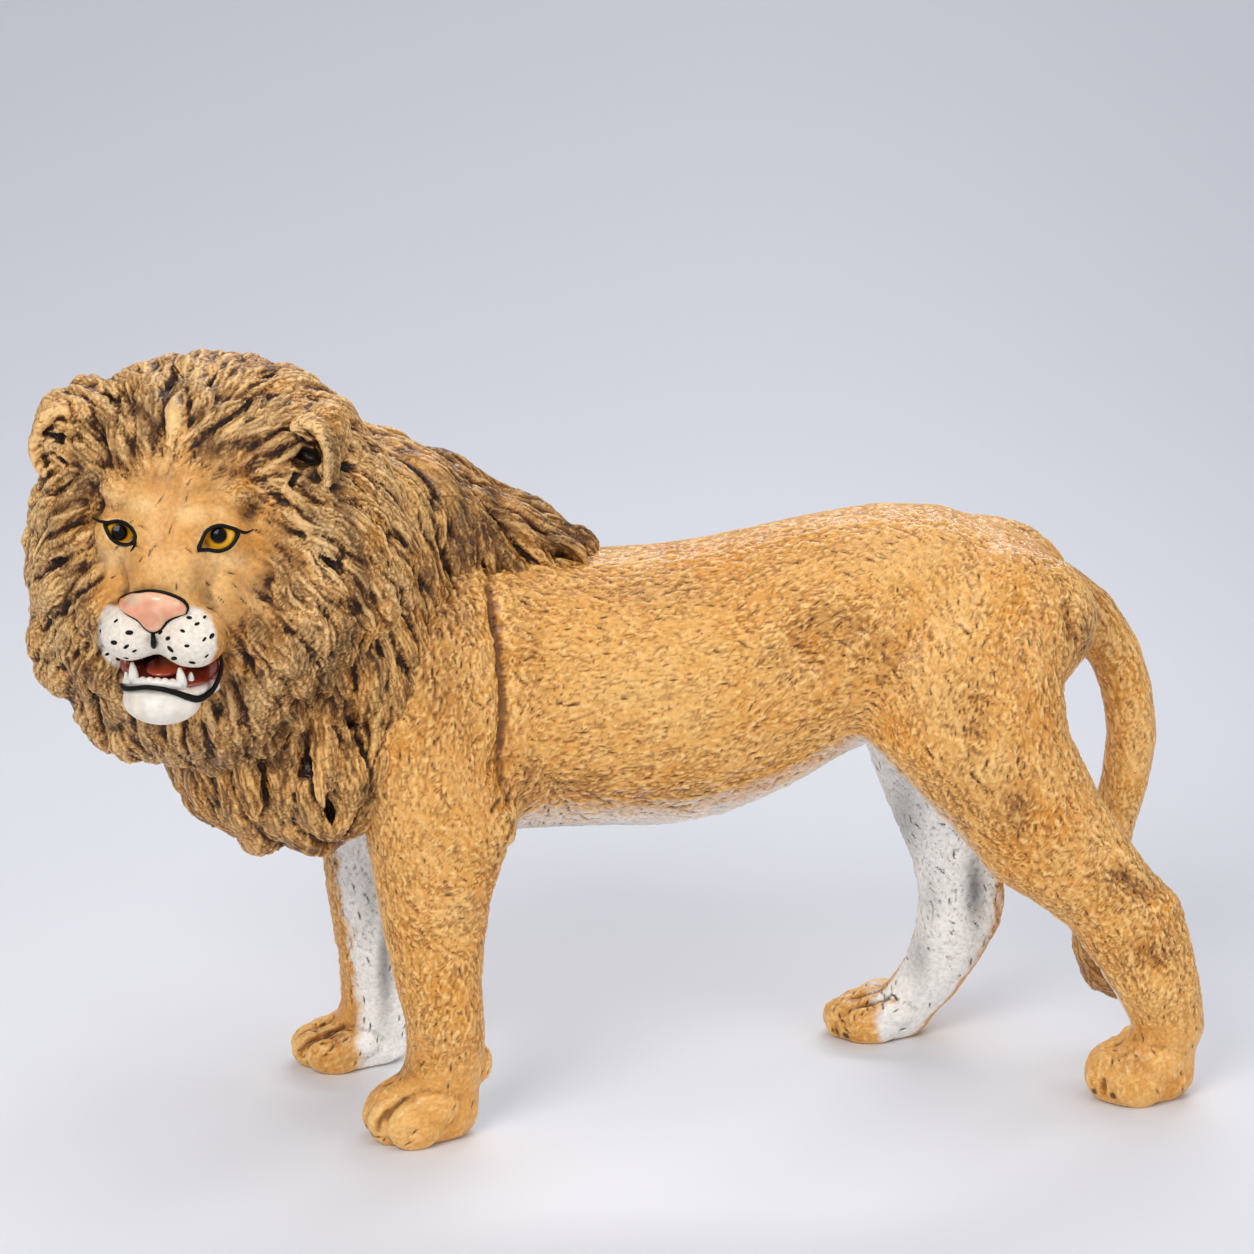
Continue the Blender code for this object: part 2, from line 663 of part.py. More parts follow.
def hair_lock(path, size):
    """One tapered lock along a path."""
    return swept("lock", path, [share * size * LOCK_RADIUS for share in LOCK_SHARES])


def neck_locks():
    """Locks that fall from the crest down both sides of the neck, close to the collar's curve."""
    (middle, height, aside), (reach, wide, tall) = MANE_SHARES["collar"]
    locks = []
    for row, (along, root, step, length, count, size) in enumerate(NECK_ROW_SHARES):
        for i in range(count):
            for hand in (-1.0, 1.0):
                odd = hand * uneven(row, i)
                path = []
                for k, rise in enumerate(LOCK_LIFT_SHARES):
                    way = k / (len(LOCK_LIFT_SHARES) - 1)
                    turn = math.radians(root + step * i + length * (1.0 + 0.15 * odd) * way)
                    lean = along + 0.035 * odd * math.sin(math.pi * way) + 0.02 * way
                    level = math.sqrt(max(1.0 - ((lean - middle) / (1.26 * reach)) ** 2, 0.2))
                    level += 2.0 * (rise + 0.25) * LOCK_RADIUS / COLLAR_WIDTH
                    path.append(mane_point(lean, height + tall * level * math.cos(turn),
                                           aside + hand * wide * level * math.sin(turn)))
                locks.append(hair_lock(path, size * (1.0 + 0.15 * odd)))
    return locks


def cape_form():
    """The cape behind the withers: a flat tapering tongue of hair with locks on it."""
    half = COLLAR_WIDTH / 2.0
    rings = []
    for along, high, out, wide, thick in CAPE_SHARES:
        rings.append(oval(mane_point(along, high, out), LATERAL * wide * half, UP * thick * half))
    pieces = [loft("cape", rings)]
    for root, tip, aside in CAPE_LOCK_SHARES:
        path = []
        for k, rise in enumerate(LOCK_LIFT_SHARES):
            along = root + (tip - root) * k / (len(LOCK_LIFT_SHARES) - 1)
            high, out, wide, thick = cape_section(along)
            place = mane_point(along, high, out + aside * wide)
            arch = thick * half * math.sqrt(1.0 - aside * aside)
            path.append(place + UP * (arch + (rise - 0.2) * LOCK_RADIUS))
        pieces.append(hair_lock(path, 0.8))
    return pieces


def cape_section(along):
    """The cape's height, sideways place, half-width and half-thickness somewhere along it."""
    for low, high in zip(CAPE_SHARES, CAPE_SHARES[1:]):
        if along <= high[0]:
            break
    t = (along - low[0]) / (high[0] - low[0])
    return [a + (b - a) * t for a, b in zip(low[1:], high[1:])]


def apron_locks():
    """Two rows of locks that hang over the chest."""
    start, end = APRON_SPREAD_SHARES
    forward, fall = APRON_FRONT_SHARES
    locks = []
    for row, (drop, size) in enumerate(APRON_ROW_SHARES):
        for i in range(APRON_LOCKS):
            across = start + (end - start) * (i + 0.5 * row) / (APRON_LOCKS - 1)
            front = forward + fall * across * across - 0.25 * drop
            path = []
            for k, (high, lean, narrow) in enumerate(APRON_LOCK_SHARES):
                way = k / (len(APRON_LOCK_SHARES) - 1)
                path.append(mane_point(front + lean, high + drop * (1.0 - way), across * narrow))
            locks.append(hair_lock(path, size * (1.0 + 0.15 * uneven(row, i))))
    return locks


def mane_form():
    """The collar of hair round the neck, from the chest's apron to the tip behind the withers."""
    pieces = []
    for name, (place, (along, aside, up)) in MANE_SHARES.items():
        half_sizes = (along * MANE_LENGTH, aside * COLLAR_WIDTH / 2.0, up * RUMP_HEIGHT)
        pieces.append(ball(name, mane_point(*place), half_sizes))
    pieces += neck_locks() + cape_form() + apron_locks()
    return fuse("mane_collar", pieces, HEAD_GRAIN, MANE_FACET_SHARE, 3)


def tail_form():
    path = [Vector((CHEST_X + along * TRUNK_LENGTH, side * TRACK, high * RUMP_HEIGHT))
            for along, high, _, side in TAIL_SHARES]
    return fuse("tail", [swept("tail_core", path, [share * TAIL_RADIUS for _, _, share, _ in TAIL_SHARES])],
                HEAD_GRAIN, TAIL_FACET_SHARE, 2)


def finish(obj, name, colour):
    """Names a moulding, moves it to the parts and gives it its paint."""
    obj.name = name
    obj.data.name = name
    obj.hide_render = False
    obj.display_type = "TEXTURED"
    CUTTERS.objects.unlink(obj)
    PARTS.objects.link(obj)
    paint = bpy.data.materials.new(name + "_paint")
    paint.use_nodes = True
    shader = paint.node_tree.nodes["Principled BSDF"]
    shader.inputs["Base Color"].default_value = (*colour, 1.0)
    shader.inputs["Roughness"].default_value = SATIN
    shader.inputs["Metallic"].default_value = 0.0
    obj.data.materials.clear()
    obj.data.materials.append(paint)
    obj.data.shade_smooth()
    obj.data.set_sharp_from_angle(angle=math.radians(40.0))


def build():
    head = head_form()
    jaw = jaw_form()
    tail = tail_form()
    mane = mane_form()

    legs = {}
    for name, shares, side, root_x, height, depth, width, step, drift in (
        ("front_leg_left", FRONT_LEG_SHARES, -1.0, FRONT_ROOT_X, FRONT_LEG_HEIGHT, FRONT_LEG_DEPTH,
         FRONT_LEG_WIDTH, 0.0, FRONT_DRIFT),
        ("front_leg_right", FRONT_LEG_SHARES, 1.0, FRONT_ROOT_X, FRONT_LEG_HEIGHT, FRONT_LEG_DEPTH,
         FRONT_LEG_WIDTH, FRONT_STEP, FRONT_DRIFT),
        ("hind_leg_left", HIND_LEG_BACK_SHARES, -1.0, HIND_ROOT_X, HIND_LEG_HEIGHT, HIND_LEG_DEPTH,
         HIND_LEG_WIDTH, 0.0, HIND_DRIFT),
        ("hind_leg_right", HIND_LEG_FORWARD_SHARES, 1.0, HIND_ROOT_X, HIND_LEG_HEIGHT, HIND_LEG_DEPTH,
         HIND_LEG_WIDTH, 0.0, HIND_DRIFT),
    ):
        legs[name] = leg_form(shares, side, root_x, height, depth, width, step, drift)
    body = fuse("body", trunk_form() + [piece for leg in legs.values() for piece in leg],
                BODY_GRAIN, BODY_FACET_SHARE)
    ground = slab("ground", (-TRUNK_LENGTH, -TRUNK_LENGTH, -OVERRUN * 4.0),
                  (2.0 * TRUNK_LENGTH, TRUNK_LENGTH, 0.0))
    combine(body, ground, "DIFFERENCE")

    head_room = swollen(head, CLEARANCE)
    combine(body, head_room, "DIFFERENCE")
    combine(body, swollen(tail, CLEARANCE), "DIFFERENCE")
    body_room = swollen(body, CLEARANCE)
    combine(mane, body_room, "DIFFERENCE")
    combine(mane, head_room, "DIFFERENCE")

    combine(head, face_ball("mouth", *MOUTH_SHARES), "DIFFERENCE")
    combine(head, swollen(jaw, CLEARANCE), "DIFFERENCE")

    combine(body, neck_spigot("spigot", 0.0), "UNION")
    spigot_room = neck_spigot("spigot_room", CLEARANCE)
    combine(head, spigot_room, "DIFFERENCE")
    combine(mane, spigot_room, "DIFFERENCE")
    return head, jaw, tail, mane, body


def split(body):
    """Parts the legs from the trunk at the keel, and the trunk along its spine."""
    front = (0.82 * FRONT_LEG_HEIGHT, 0.68 * FRONT_LEG_HEIGHT, 0.50 * FRONT_LEG_HEIGHT,
             CHEST_X - 0.12 * TRUNK_LENGTH, CHEST_X + 0.31 * TRUNK_LENGTH)
    hind = (HIND_ROOT_X, 0.64 * HIND_LEG_DEPTH, 0.76 * HIND_LEG_HEIGHT, 0.76 * HIND_LEG_HEIGHT,
            0.50 * HIND_LEG_HEIGHT, HIND_ROOT_X - 0.64 * HIND_LEG_DEPTH,
            CHEST_X + 1.25 * TRUNK_LENGTH)
    regions = {
        "front_leg_left": (-1.0, FRONT_ROOT_X - 0.03 * FRONT_LEG_DEPTH, 0.54 * FRONT_LEG_DEPTH,
                           *front),
        "front_leg_right": (1.0, FRONT_ROOT_X - 0.03 * FRONT_LEG_DEPTH - 0.4 * FRONT_STEP,
                            0.56 * FRONT_LEG_DEPTH, *front),
        "hind_leg_left": (-1.0, *hind),
        "hind_leg_right": (1.0, *hind),
    }
    legs = {}
    trunk = copied(body, "trunk")
    for name, region in regions.items():
        side, centre_x = region[:2]
        leg = copied(body, name)
        combine(leg, leg_region(name + "_space", *region, 0.0), "INTERSECT")
        combine(trunk, leg_region(name + "_room", *region, CLEARANCE), "DIFFERENCE")
        peg_z = FRONT_SEAT_Z if name.startswith("front") else HIND_SEAT_Z
        combine(leg, keyed_peg(name + "_peg", centre_x, peg_z, side, 0.0), "UNION")
        combine(trunk, keyed_peg(name + "_socket", centre_x, peg_z, side, CLEARANCE), "DIFFERENCE")
        legs[name] = leg

    reach = 2.0 * TRUNK_LENGTH
    halves = []
    for name, side in (("trunk_left", -1.0), ("trunk_right", 1.0)):
        half = copied(trunk, name)
        low, high = sorted((side * CLEARANCE / 2.0, side * reach))
        combine(half, slab(name + "_side", (-reach, low, -reach), (reach, high, reach)), "INTERSECT")
        halves.append(half)
    for along, up in PIN_PLACE_SHARES:
        x, z = CHEST_X + along * TRUNK_LENGTH, up * RUMP_HEIGHT
        pin = rod("pin", Vector((x, -PIN_LENGTH, z)), Vector((x, PIN_LENGTH, z)), PIN_RADIUS)
        hole = rod("pin_hole", Vector((x, -PIN_LENGTH, z)), Vector((x, PIN_LENGTH + CLEARANCE, z)),
                   PIN_RADIUS + CLEARANCE)
        combine(halves[0], pin, "UNION")
        combine(halves[1], hole, "DIFFERENCE")
    return halves, legs


def stand_on_origin(parts):
    """Moves the figure so that the origin lies under the middle of its box."""
    corners = [obj.matrix_world @ Vector(corner) for obj in parts for corner in obj.bound_box]
    xs = [corner.x for corner in corners]
    ys = [corner.y for corner in corners]
    lion = bpy.data.objects.new("lion", None)
    PARTS.objects.link(lion)
    lion.location = (-(min(xs) + max(xs)) / 2.0, -(min(ys) + max(ys)) / 2.0, 0.0)
    for obj in parts:
        obj.parent = lion


HEAD, JAW, TAIL, MANE, BODY = build()
HALVES, LEGS = split(BODY)
for half in HALVES:
    finish(half, half.name, TAN)
for leg_name, leg in LEGS.items():
    finish(leg, leg_name, TAN)
finish(HEAD, "head", RUFF_BROWN)
finish(JAW, "lower_jaw", CHIN_WHITE)
finish(MANE, "mane_collar", MANE_BROWN)
finish(TAIL, "tail", TAIL_TAN)
stand_on_origin([obj for obj in PARTS.objects if obj.type == "MESH"])
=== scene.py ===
"""Looks of a standing male lion figure, moulded in PVC and painted by hand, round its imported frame.

All modelling is done in millimetres in the figure's own space, where the spine lies at y = 0, the lion
looks along -x and it stands on z = 0. Skins are worked like clay: forms are blended, combed hair is laid
on as locks, creases are carved, and the paint follows the relief.
"""

import math

import bmesh
import bpy
import numpy as np
from mathutils import Matrix, Vector
from mathutils.bvhtree import BVHTree
from mathutils.kdtree import KDTree


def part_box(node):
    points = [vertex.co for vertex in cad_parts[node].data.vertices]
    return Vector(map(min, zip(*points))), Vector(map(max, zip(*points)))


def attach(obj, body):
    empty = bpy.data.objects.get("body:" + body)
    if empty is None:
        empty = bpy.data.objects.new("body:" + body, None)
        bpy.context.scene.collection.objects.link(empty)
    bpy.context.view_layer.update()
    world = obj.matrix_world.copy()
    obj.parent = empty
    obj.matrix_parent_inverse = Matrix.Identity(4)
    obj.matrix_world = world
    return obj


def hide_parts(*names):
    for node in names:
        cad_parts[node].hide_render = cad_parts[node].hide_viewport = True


MM = 0.001
TINY = 1e-9
FAR = 1e9

# Half the gap between the trunk's halves, and the hind heel's place in the figure's own space
HALF_GAP = 0.15
HIND_HEEL_X = 70.707

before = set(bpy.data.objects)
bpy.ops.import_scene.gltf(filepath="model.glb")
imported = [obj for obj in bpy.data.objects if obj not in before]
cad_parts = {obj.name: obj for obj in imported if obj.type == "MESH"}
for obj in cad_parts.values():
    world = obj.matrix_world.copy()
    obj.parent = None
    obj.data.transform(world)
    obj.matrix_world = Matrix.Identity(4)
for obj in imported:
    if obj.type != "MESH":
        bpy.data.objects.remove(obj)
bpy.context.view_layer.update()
CHANCE = np.random.default_rng(7)

# Where the figure's own space lies in the frame
SHIFT = np.array([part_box("hind_leg_left")[1].x / MM - HIND_HEEL_X,
                  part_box("trunk_right")[0].y / MM - HALF_GAP, 0.0])

# Grain of the skins: the spacing of their points
BODY_GRAIN = 0.26
MANE_GRAIN = 0.28
HEAD_GRAIN = 0.25
JAW_GRAIN = 0.25
BASE_GRAIN = 0.6

# Carving: width of a strand of the mane, and spacing, length and width of the strokes in the fur
STRAND = 0.62
BODY_DABS = (0.95, 1.9, 0.44)
FACE_DABS = (0.9, 2.4, 0.4)

# Locks of hair, coarse and fine: spacing, length, width and height
MANE_LOCKS = ((4.6, 20.0, 4.6, 1.9), (2.8, 13.0, 2.2, 1.5))
RUFF_LOCKS = ((4.4, 16.0, 4.4, 1.05), (2.4, 10.0, 2.0, 0.85))

# Patterns of the paint: clouds in the fur, drift of its combing, stipple, and clouds and streaks in enamel,
# whose clouds on the nose are painted highlights
CLOUD = 7.14
DRIFT = 2.38
STIPPLE = 0.526
TOUCH_AND_HIGHLIGHT = 4.17
STREAK = 1.43

# The photograph's view of the figure
VIEW_TURN = math.radians(-8.5)
VIEW_RISE = math.radians(17.0)
VIEW_DISTANCE = 600.0
VIEW_TARGET = np.array([2.0, 0.0, 59.0])
PHOTO_SIZE = 1254
FOCAL_PIXELS = 5100.0
SENSOR = 36.0

# Head
HEAD_TURN = math.radians(70.0)
HEAD_CENTRE = np.array([-47.0, -9.0, 72.5])
FACE = np.array([-math.cos(HEAD_TURN), -math.sin(HEAD_TURN), 0.0])
SIDE = np.array([math.sin(HEAD_TURN), -math.cos(HEAD_TURN), 0.0])
UP = np.array([0.0, 0.0, 1.0])
RUFF_MIDDLE = (0.8, -0.7, 0.0)
RUFF_RADII = (21.6, 23.4, 16.4)
EYEBALL_RADIUS = 2.7


def unit(vectors):
    """Vectors cut to length one."""
    length = np.linalg.norm(vectors, axis=-1, keepdims=True)
    return vectors / np.maximum(length, TINY)


def to_segment(places, start, end):
    """Each place's distance to a straight stretch, and how far along the stretch it lies, from 0 to 1."""
    way = end - start
    share = np.clip(((places - start) @ way) / max(way @ way, TINY), 0.0, 1.0)
    return np.linalg.norm(places - start - share[:, None] * way, axis=1), share


def tapered(values, count):
    """Values given at even steps along a path, read at a number of places along it."""
    return np.interp(np.linspace(0, 1, count), np.linspace(0, 1, len(values)), values)


# The photograph's line of sight

BACK = np.array([math.sin(VIEW_TURN) * math.cos(VIEW_RISE), -math.cos(VIEW_TURN) * math.cos(VIEW_RISE),
                 math.sin(VIEW_RISE)])
RIGHT = np.array([math.cos(VIEW_TURN), math.sin(VIEW_TURN), 0.0])
ABOVE = np.cross(BACK, RIGHT)
EYE = VIEW_TARGET + BACK * VIEW_DISTANCE


def sight(pixel):
    """The direction from the eye through a pixel of the photograph."""
    right = (pixel[0] - PHOTO_SIZE / 2) / FOCAL_PIXELS
    down = (pixel[1] - PHOTO_SIZE / 2) / FOCAL_PIXELS
    return unit(RIGHT * right - ABOVE * down - BACK)


def seen_at(points):
    """The photograph's pixels at which points appear."""
    way = points - EYE
    depth = -(way @ BACK)
    return np.stack([PHOTO_SIZE / 2 + FOCAL_PIXELS * (way @ RIGHT) / depth,
                     PHOTO_SIZE / 2 - FOCAL_PIXELS * (way @ ABOVE) / depth], -1)


def in_head(side, up, face):
    """A point given in the head's own directions."""
    return HEAD_CENTRE + SIDE * side + UP * up + FACE * face


def to_head(points):
    """Points as side, up and face in the head's own directions."""
    way = points - HEAD_CENTRE
    return np.stack([way @ SIDE, way @ UP, way @ FACE], -1)


HEAD_AXES = np.array([SIDE, FACE, UP])


# Solids as points and faces

def skin_rings(rings, first, last):
    """A closed skin over rings of points, with a pole at each end."""
    count, around = len(rings), len(rings[0])
    points = np.concatenate([np.reshape(rings, (-1, 3)), [first], [last]])
    faces = []
    for i in range(count - 1):
        for j in range(around):
            k = (j + 1) % around
            faces.append((i * around + j, i * around + k, (i + 1) * around + k, (i + 1) * around + j))
    low, high = count * around, count * around + 1
    top = (count - 1) * around
    for j in range(around):
        k = (j + 1) % around
        faces.append((low, k, j))
        faces.append((high, top + j, top + k))
    return points, faces


def ball(centre, radii, axes=np.eye(3), rings=15, around=24):
    """An ellipsoid whose half-axes lie along given directions."""
    rows = []
    circle = np.linspace(0.0, 2.0 * np.pi, around, endpoint=False)
    for i in range(1, rings):
        polar = np.pi * i / rings
        local = np.stack([np.cos(circle) * math.sin(polar), np.sin(circle) * math.sin(polar),
                          np.full(around, math.cos(polar))], -1) * radii
        rows.append(local @ axes + centre)
    pole = np.array([0.0, 0.0, radii[2]]) @ axes
    return skin_rings(rows, centre + pole, centre - pole)


def head_ball(side, up, face, wide, tall, deep):
    """An ellipsoid in the head: place and half-sizes to the side, up and to the face."""
    return ball(in_head(side, up, face), (wide, deep, tall), HEAD_AXES)


# A direction that no path of the figure follows, and how far a tube's ends bulge
SKEW = (0.13, 0.97, 0.21)
TUBE_END_SHARE = 0.5


def tube(path, radii, around=14):
    """A round tube of changing radius along a path."""
    path = np.asarray(path, float)
    along = unit(np.gradient(path, axis=0))
    across = unit(np.cross(along, SKEW))
    out = np.cross(along, across)
    circle = np.linspace(0.0, 2.0 * np.pi, around, endpoint=False)
    rings = [path[i] + radii[i] * (np.outer(np.cos(circle), across[i]) + np.outer(np.sin(circle), out[i]))
             for i in range(len(path))]
    return skin_rings(rings, path[0] - along[0] * radii[0] * TUBE_END_SHARE,
                      path[-1] + along[-1] * radii[-1] * TUBE_END_SHARE)


def smooth_path(points, count):
    """Points spaced evenly along a smooth curve through a few given ones."""
    points = np.asarray(points, float)
    padded = np.concatenate([[2 * points[0] - points[1]], points, [2 * points[-1] - points[-2]]])
    samples = []
    for place in np.linspace(0.0, len(points) - 1.001, count):
        i = int(place)
        t = place - i
        a, b, c, d = padded[i:i + 4]
        samples.append(0.5 * (2 * b + (c - a) * t + (2 * a - 5 * b + 4 * c - d) * t * t
                              + (3 * b - a - 3 * c + d) * t ** 3))
    return np.array(samples)


def made_object(name, solids):
    """One object from several solids."""
    points, faces, start = [], [], 0
    for solid_points, solid_faces in solids:
        points.append(solid_points)
        faces += [tuple(start + i for i in face) for face in solid_faces]
        start += len(solid_points)
    mesh = bpy.data.meshes.new(name)
    mesh.from_pydata(((np.concatenate(points) + SHIFT) * MM).tolist(), [], faces)
    obj = bpy.data.objects.new(name, mesh)
    bpy.context.scene.collection.objects.link(obj)
    return obj


# Points of a CAD node that lie closer than this are one
WELD = 0.01


def node_solid(name, grow=0.0):
    """A CAD node's welded mesh as points and faces, grown a little to close the gaps to its neighbours."""
    shape = bmesh.new()
    shape.from_mesh(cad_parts[name].data)
    bmesh.ops.remove_doubles(shape, verts=shape.verts, dist=WELD * MM)
    shape.normal_update()
    points = np.array([corner.co + corner.normal * grow * MM for corner in shape.verts]) / MM - SHIFT
    faces = [tuple(corner.index for corner in face.verts) for face in shape.faces]
    shape.free()
    return points, faces


def bake(obj):
    """Applies an object's modifiers to its mesh."""
    graph = bpy.context.evaluated_depsgraph_get()
    mesh = bpy.data.meshes.new_from_object(obj.evaluated_get(graph))
    obj.modifiers.clear()
    obj.data = mesh


def voxels(obj, grain):
    """One even skin round everything in an object."""
    blend = obj.modifiers.new("Skin", "REMESH")
    blend.mode = "VOXEL"
    blend.voxel_size = grain * MM
    bake(obj)


def hollow(obj, solid):
    """Cuts a solid out of an object."""
    tool = made_object("tool", [solid])
    cut = obj.modifiers.new("Hollow", "BOOLEAN")
    cut.operation = "DIFFERENCE"
    cut.solver = "MANIFOLD"
    cut.object = tool
    bake(obj)
    bpy.data.objects.remove(tool, do_unlink=True)


def read(sequence, name, width, kind=float):
    """A property of every item of a mesh as an array."""
    values = np.zeros(len(sequence) * width, kind)
    sequence.foreach_get(name, values)
    return values.reshape(-1, width) if width > 1 else values


# What the skins tell the paint: height in the near and the wider relief, lines, tone, places in the hair,
# pits, and the shares of white, grey, brown and pale paint, the pale being in places a painted highlight
MASKS = ("relief", "broad", "line", "tone", "hair", "strand", "pits", "white", "grey", "umber", "pale")

# How many rounds of smoothing the near relief is read against, and what of a point each round keeps
NEAR_RELIEF = 10
STEADY_SHARE = 0.4

# One edge in so many is measured for the grain; a smoothing step's share of the way to the neighbours'
# mean; how fast a groove fades at its ends, and what stays there
EDGE_STEP = 37
RELAX_SHARE = 0.5
GROOVE_FADE_SHARES = (5.0, 0.15)

# How much a smoothing step gives back, and the most neighbours that a point of an even skin has
GIVE_BACK_SHARE = 1.06
MOST_NEIGHBOURS = 8


class Clay:
    """A skin under the sculptor's tools: its points, normals and neighbours."""

    def __init__(self, obj):
        self.obj = obj
        mesh = obj.data
        self.count = len(mesh.vertices)
        self.points = read(mesh.vertices, "co", 3) / MM - SHIFT
        self.ends = read(mesh.edges, "vertices", 2, np.int32)
        self.degree = np.bincount(self.ends.ravel(), minlength=self.count).astype(float)
        self.update()

    def update(self):
        """Writes the points to the mesh and reads the new normals."""
        mesh = self.obj.data
        mesh.vertices.foreach_set("co", ((self.points + SHIFT) * MM).ravel())
        mesh.update()
        self.normals = read(mesh.vertex_normals, "vector", 3)

    def grain(self):
        """The mean spacing of the points."""
        a, b = self.ends[::EDGE_STEP].T
        return np.linalg.norm(self.points[a] - self.points[b], axis=1).mean()

    def spread(self, values):
        """The mean over each point's neighbours."""
        if values.ndim > 1:
            return np.stack([self.spread(values[:, k]) for k in range(values.shape[1])], 1)
        a, b = self.ends.T
        total = (np.bincount(a, values[b], minlength=self.count)
                 + np.bincount(b, values[a], minlength=self.count))
        return total / self.degree

    def blurred(self, values, times):
        """Values averaged with their neighbours a number of times."""
        for _ in range(times):
            values = 0.5 * values + 0.5 * self.spread(values)
        return values

    def patches(self, times):
        """Soft random blotches with a spread of one."""
        values = self.blurred(CHANCE.normal(size=self.count), times)
        return values / values.std()

    def relax(self, times, keep=0.0, where=None):
        """Smooths the skin; keep of 1 gives back the volume that this takes."""
        for _ in range(times):
            for step in (RELAX_SHARE, -RELAX_SHARE * GIVE_BACK_SHARE * keep):
                if step:
                    move = (self.spread(self.points) - self.points) * step
                    self.points += move if where is None else move * where[:, None]
        self.update()

    def push(self, amounts):
        """Moves each point along its normal."""
        self.points += self.normals * np.asarray(amounts)[..., None]
        self.update()

    def tree(self):
        """A search tree over the skin's faces."""
        faces = [tuple(face.vertices) for face in self.obj.data.polygons]
        return BVHTree.FromPolygons(self.points.tolist(), faces)

    def distance(self, path):
        """Each point's distance to a line through places, and how far along the line that is."""
        path = np.atleast_2d(path)
        best = np.full(self.count, FAR)
        share = np.zeros(self.count)
        steps = max(len(path) - 1, 1)
        for i in range(steps):
            gap, part = to_segment(self.points, path[i], path[min(i + 1, len(path) - 1)])
            closer = gap < best
            best[closer] = gap[closer]
            share[closer] = (i + part[closer]) / steps
        return best, share

    def near(self, path, width, sharp=2):
        """1 on a line through places, falling to 0 over a width."""
        return np.exp(-(self.distance(path)[0] / width) ** sharp)

    def carve(self, path, width, depth):
        """Presses a groove, or with a negative depth raises a ridge, along a path, fading at its ends."""
        gap, share = self.distance(path)
        fade = np.minimum(share, 1.0 - share) * GROOVE_FADE_SHARES[0]
        fade = np.clip(fade, GROOVE_FADE_SHARES[1], 1.0) if len(path) > 1 else 1.0
        self.push(-depth * fade * np.exp(-(gap / width) ** 2))

    def store(self, **masks):
        """Keeps values for the paint on the mesh, nothing for those not named."""
        for name in MASKS:
            values = masks.get(name, np.zeros(self.count))
            layer = self.obj.data.attributes.new(name, "FLOAT", "POINT")
            layer.data.foreach_set("value", np.asarray(values, np.float32))

    def neighbours(self):
        """A table of each point's neighbours, filled up with the point itself."""
        a = np.concatenate([self.ends[:, 0], self.ends[:, 1]])
        b = np.concatenate([self.ends[:, 1], self.ends[:, 0]])
        order = np.argsort(a, kind="stable")
        a, b = a[order], b[order]
        starts = np.concatenate([[0], np.cumsum(np.bincount(a, minlength=self.count))[:-1]])
        rank = np.arange(len(a)) - starts[a]
        table = np.repeat(np.arange(self.count)[:, None], MOST_NEIGHBOURS, axis=1)
        kept = rank < MOST_NEIGHBOURS - 1
        table[a[kept], rank[kept]] = b[kept]
        return table

    def trails(self, flow, steps, stride):
        """The points met on the way along the flow from each point, ahead and behind."""
        table = self.neighbours()
        met = [np.arange(self.count)]
        for sense in (1.0, -1.0):
            here = np.arange(self.count)
            place = self.points.copy()
            for _ in range(steps):
                place += flow[here] * (stride * sense)
                for _ in range(2):
                    options = table[here]
                    gap = ((self.points[options] - place[:, None, :]) ** 2).sum(-1)
                    here = options[np.arange(self.count), gap.argmin(1)]
                met.append(here)
        return met


def hits(tree, pixels):
    """The places on a skin under pixels of the photograph."""
    places, normals = [], []
    for pixel in pixels:
        place, normal, _, _ = tree.ray_cast(Vector(EYE), Vector(sight(pixel)))
        if place is not None:
            places.append(np.array(place))
            normals.append(np.array(normal))
    return np.array(places), np.array(normals)


def traced(tree, pixels, count):
    """A smooth line over a skin through pixels of the photograph."""
    return smooth_path(hits(tree, pixels)[0], count)


def nearest(tree, points):
    """The closest places on a skin, with its normals there."""
    found = [tree.find_nearest(Vector(point)) for point in points]
    return np.array([hit[0] for hit in found]), np.array([hit[1] for hit in found])


# The comb: trust in mirrored strokes, the reach of a stroke and how fast it fades, and points done at once
MIRROR_TRUST_SHARE = 0.4
STROKE_REACH = 6.0
STROKE_FADE = 1.6
COMB_BATCH = 20000


class Comb:
    """How the hair lies, drawn as strokes over the photograph and mirrored to the unseen side."""

    def __init__(self, tree, strokes, mirror):
        places, ways, normals = [], [], []
        for start, end in strokes:
            pair, pair_normals = hits(tree, (start, end))
            if len(pair) == 2:
                places.append(pair.mean(0))
                ways.append(unit(pair[1] - pair[0]))
                normals.append(unit(pair_normals.sum(0)))
        places, ways, normals = np.array(places), np.array(ways), np.array(normals)
        across = unit(np.asarray(mirror[1], float))

        def reflected(ways):
            return ways - 2.0 * (ways @ across)[:, None] * across

        other = places - 2.0 * ((places - mirror[0]) @ across)[:, None] * across
        self.places = np.concatenate([places, other])
        self.ways = np.concatenate([ways, reflected(ways)])
        self.normals = np.concatenate([normals, reflected(normals)])
        self.trust = np.concatenate([np.ones(len(places)), np.full(len(places), MIRROR_TRUST_SHARE)])

    def flow(self, points, normals):
        """The direction of the hair at points of a skin."""
        result = np.zeros_like(points)
        for start in range(0, len(points), COMB_BATCH):
            part = slice(start, start + COMB_BATCH)
            gap = ((points[part, None, :] - self.places[None]) ** 2).sum(-1)
            facing = np.clip(1.1 + normals[part] @ self.normals.T, 0.05, None) ** 2
            weight = self.trust * facing / (gap + STROKE_REACH) ** STROKE_FADE
            way = weight @ self.ways
            way -= (way * normals[part]).sum(1, keepdims=True) * normals[part]
            result[part] = unit(way)
        return result


# Locks of hair

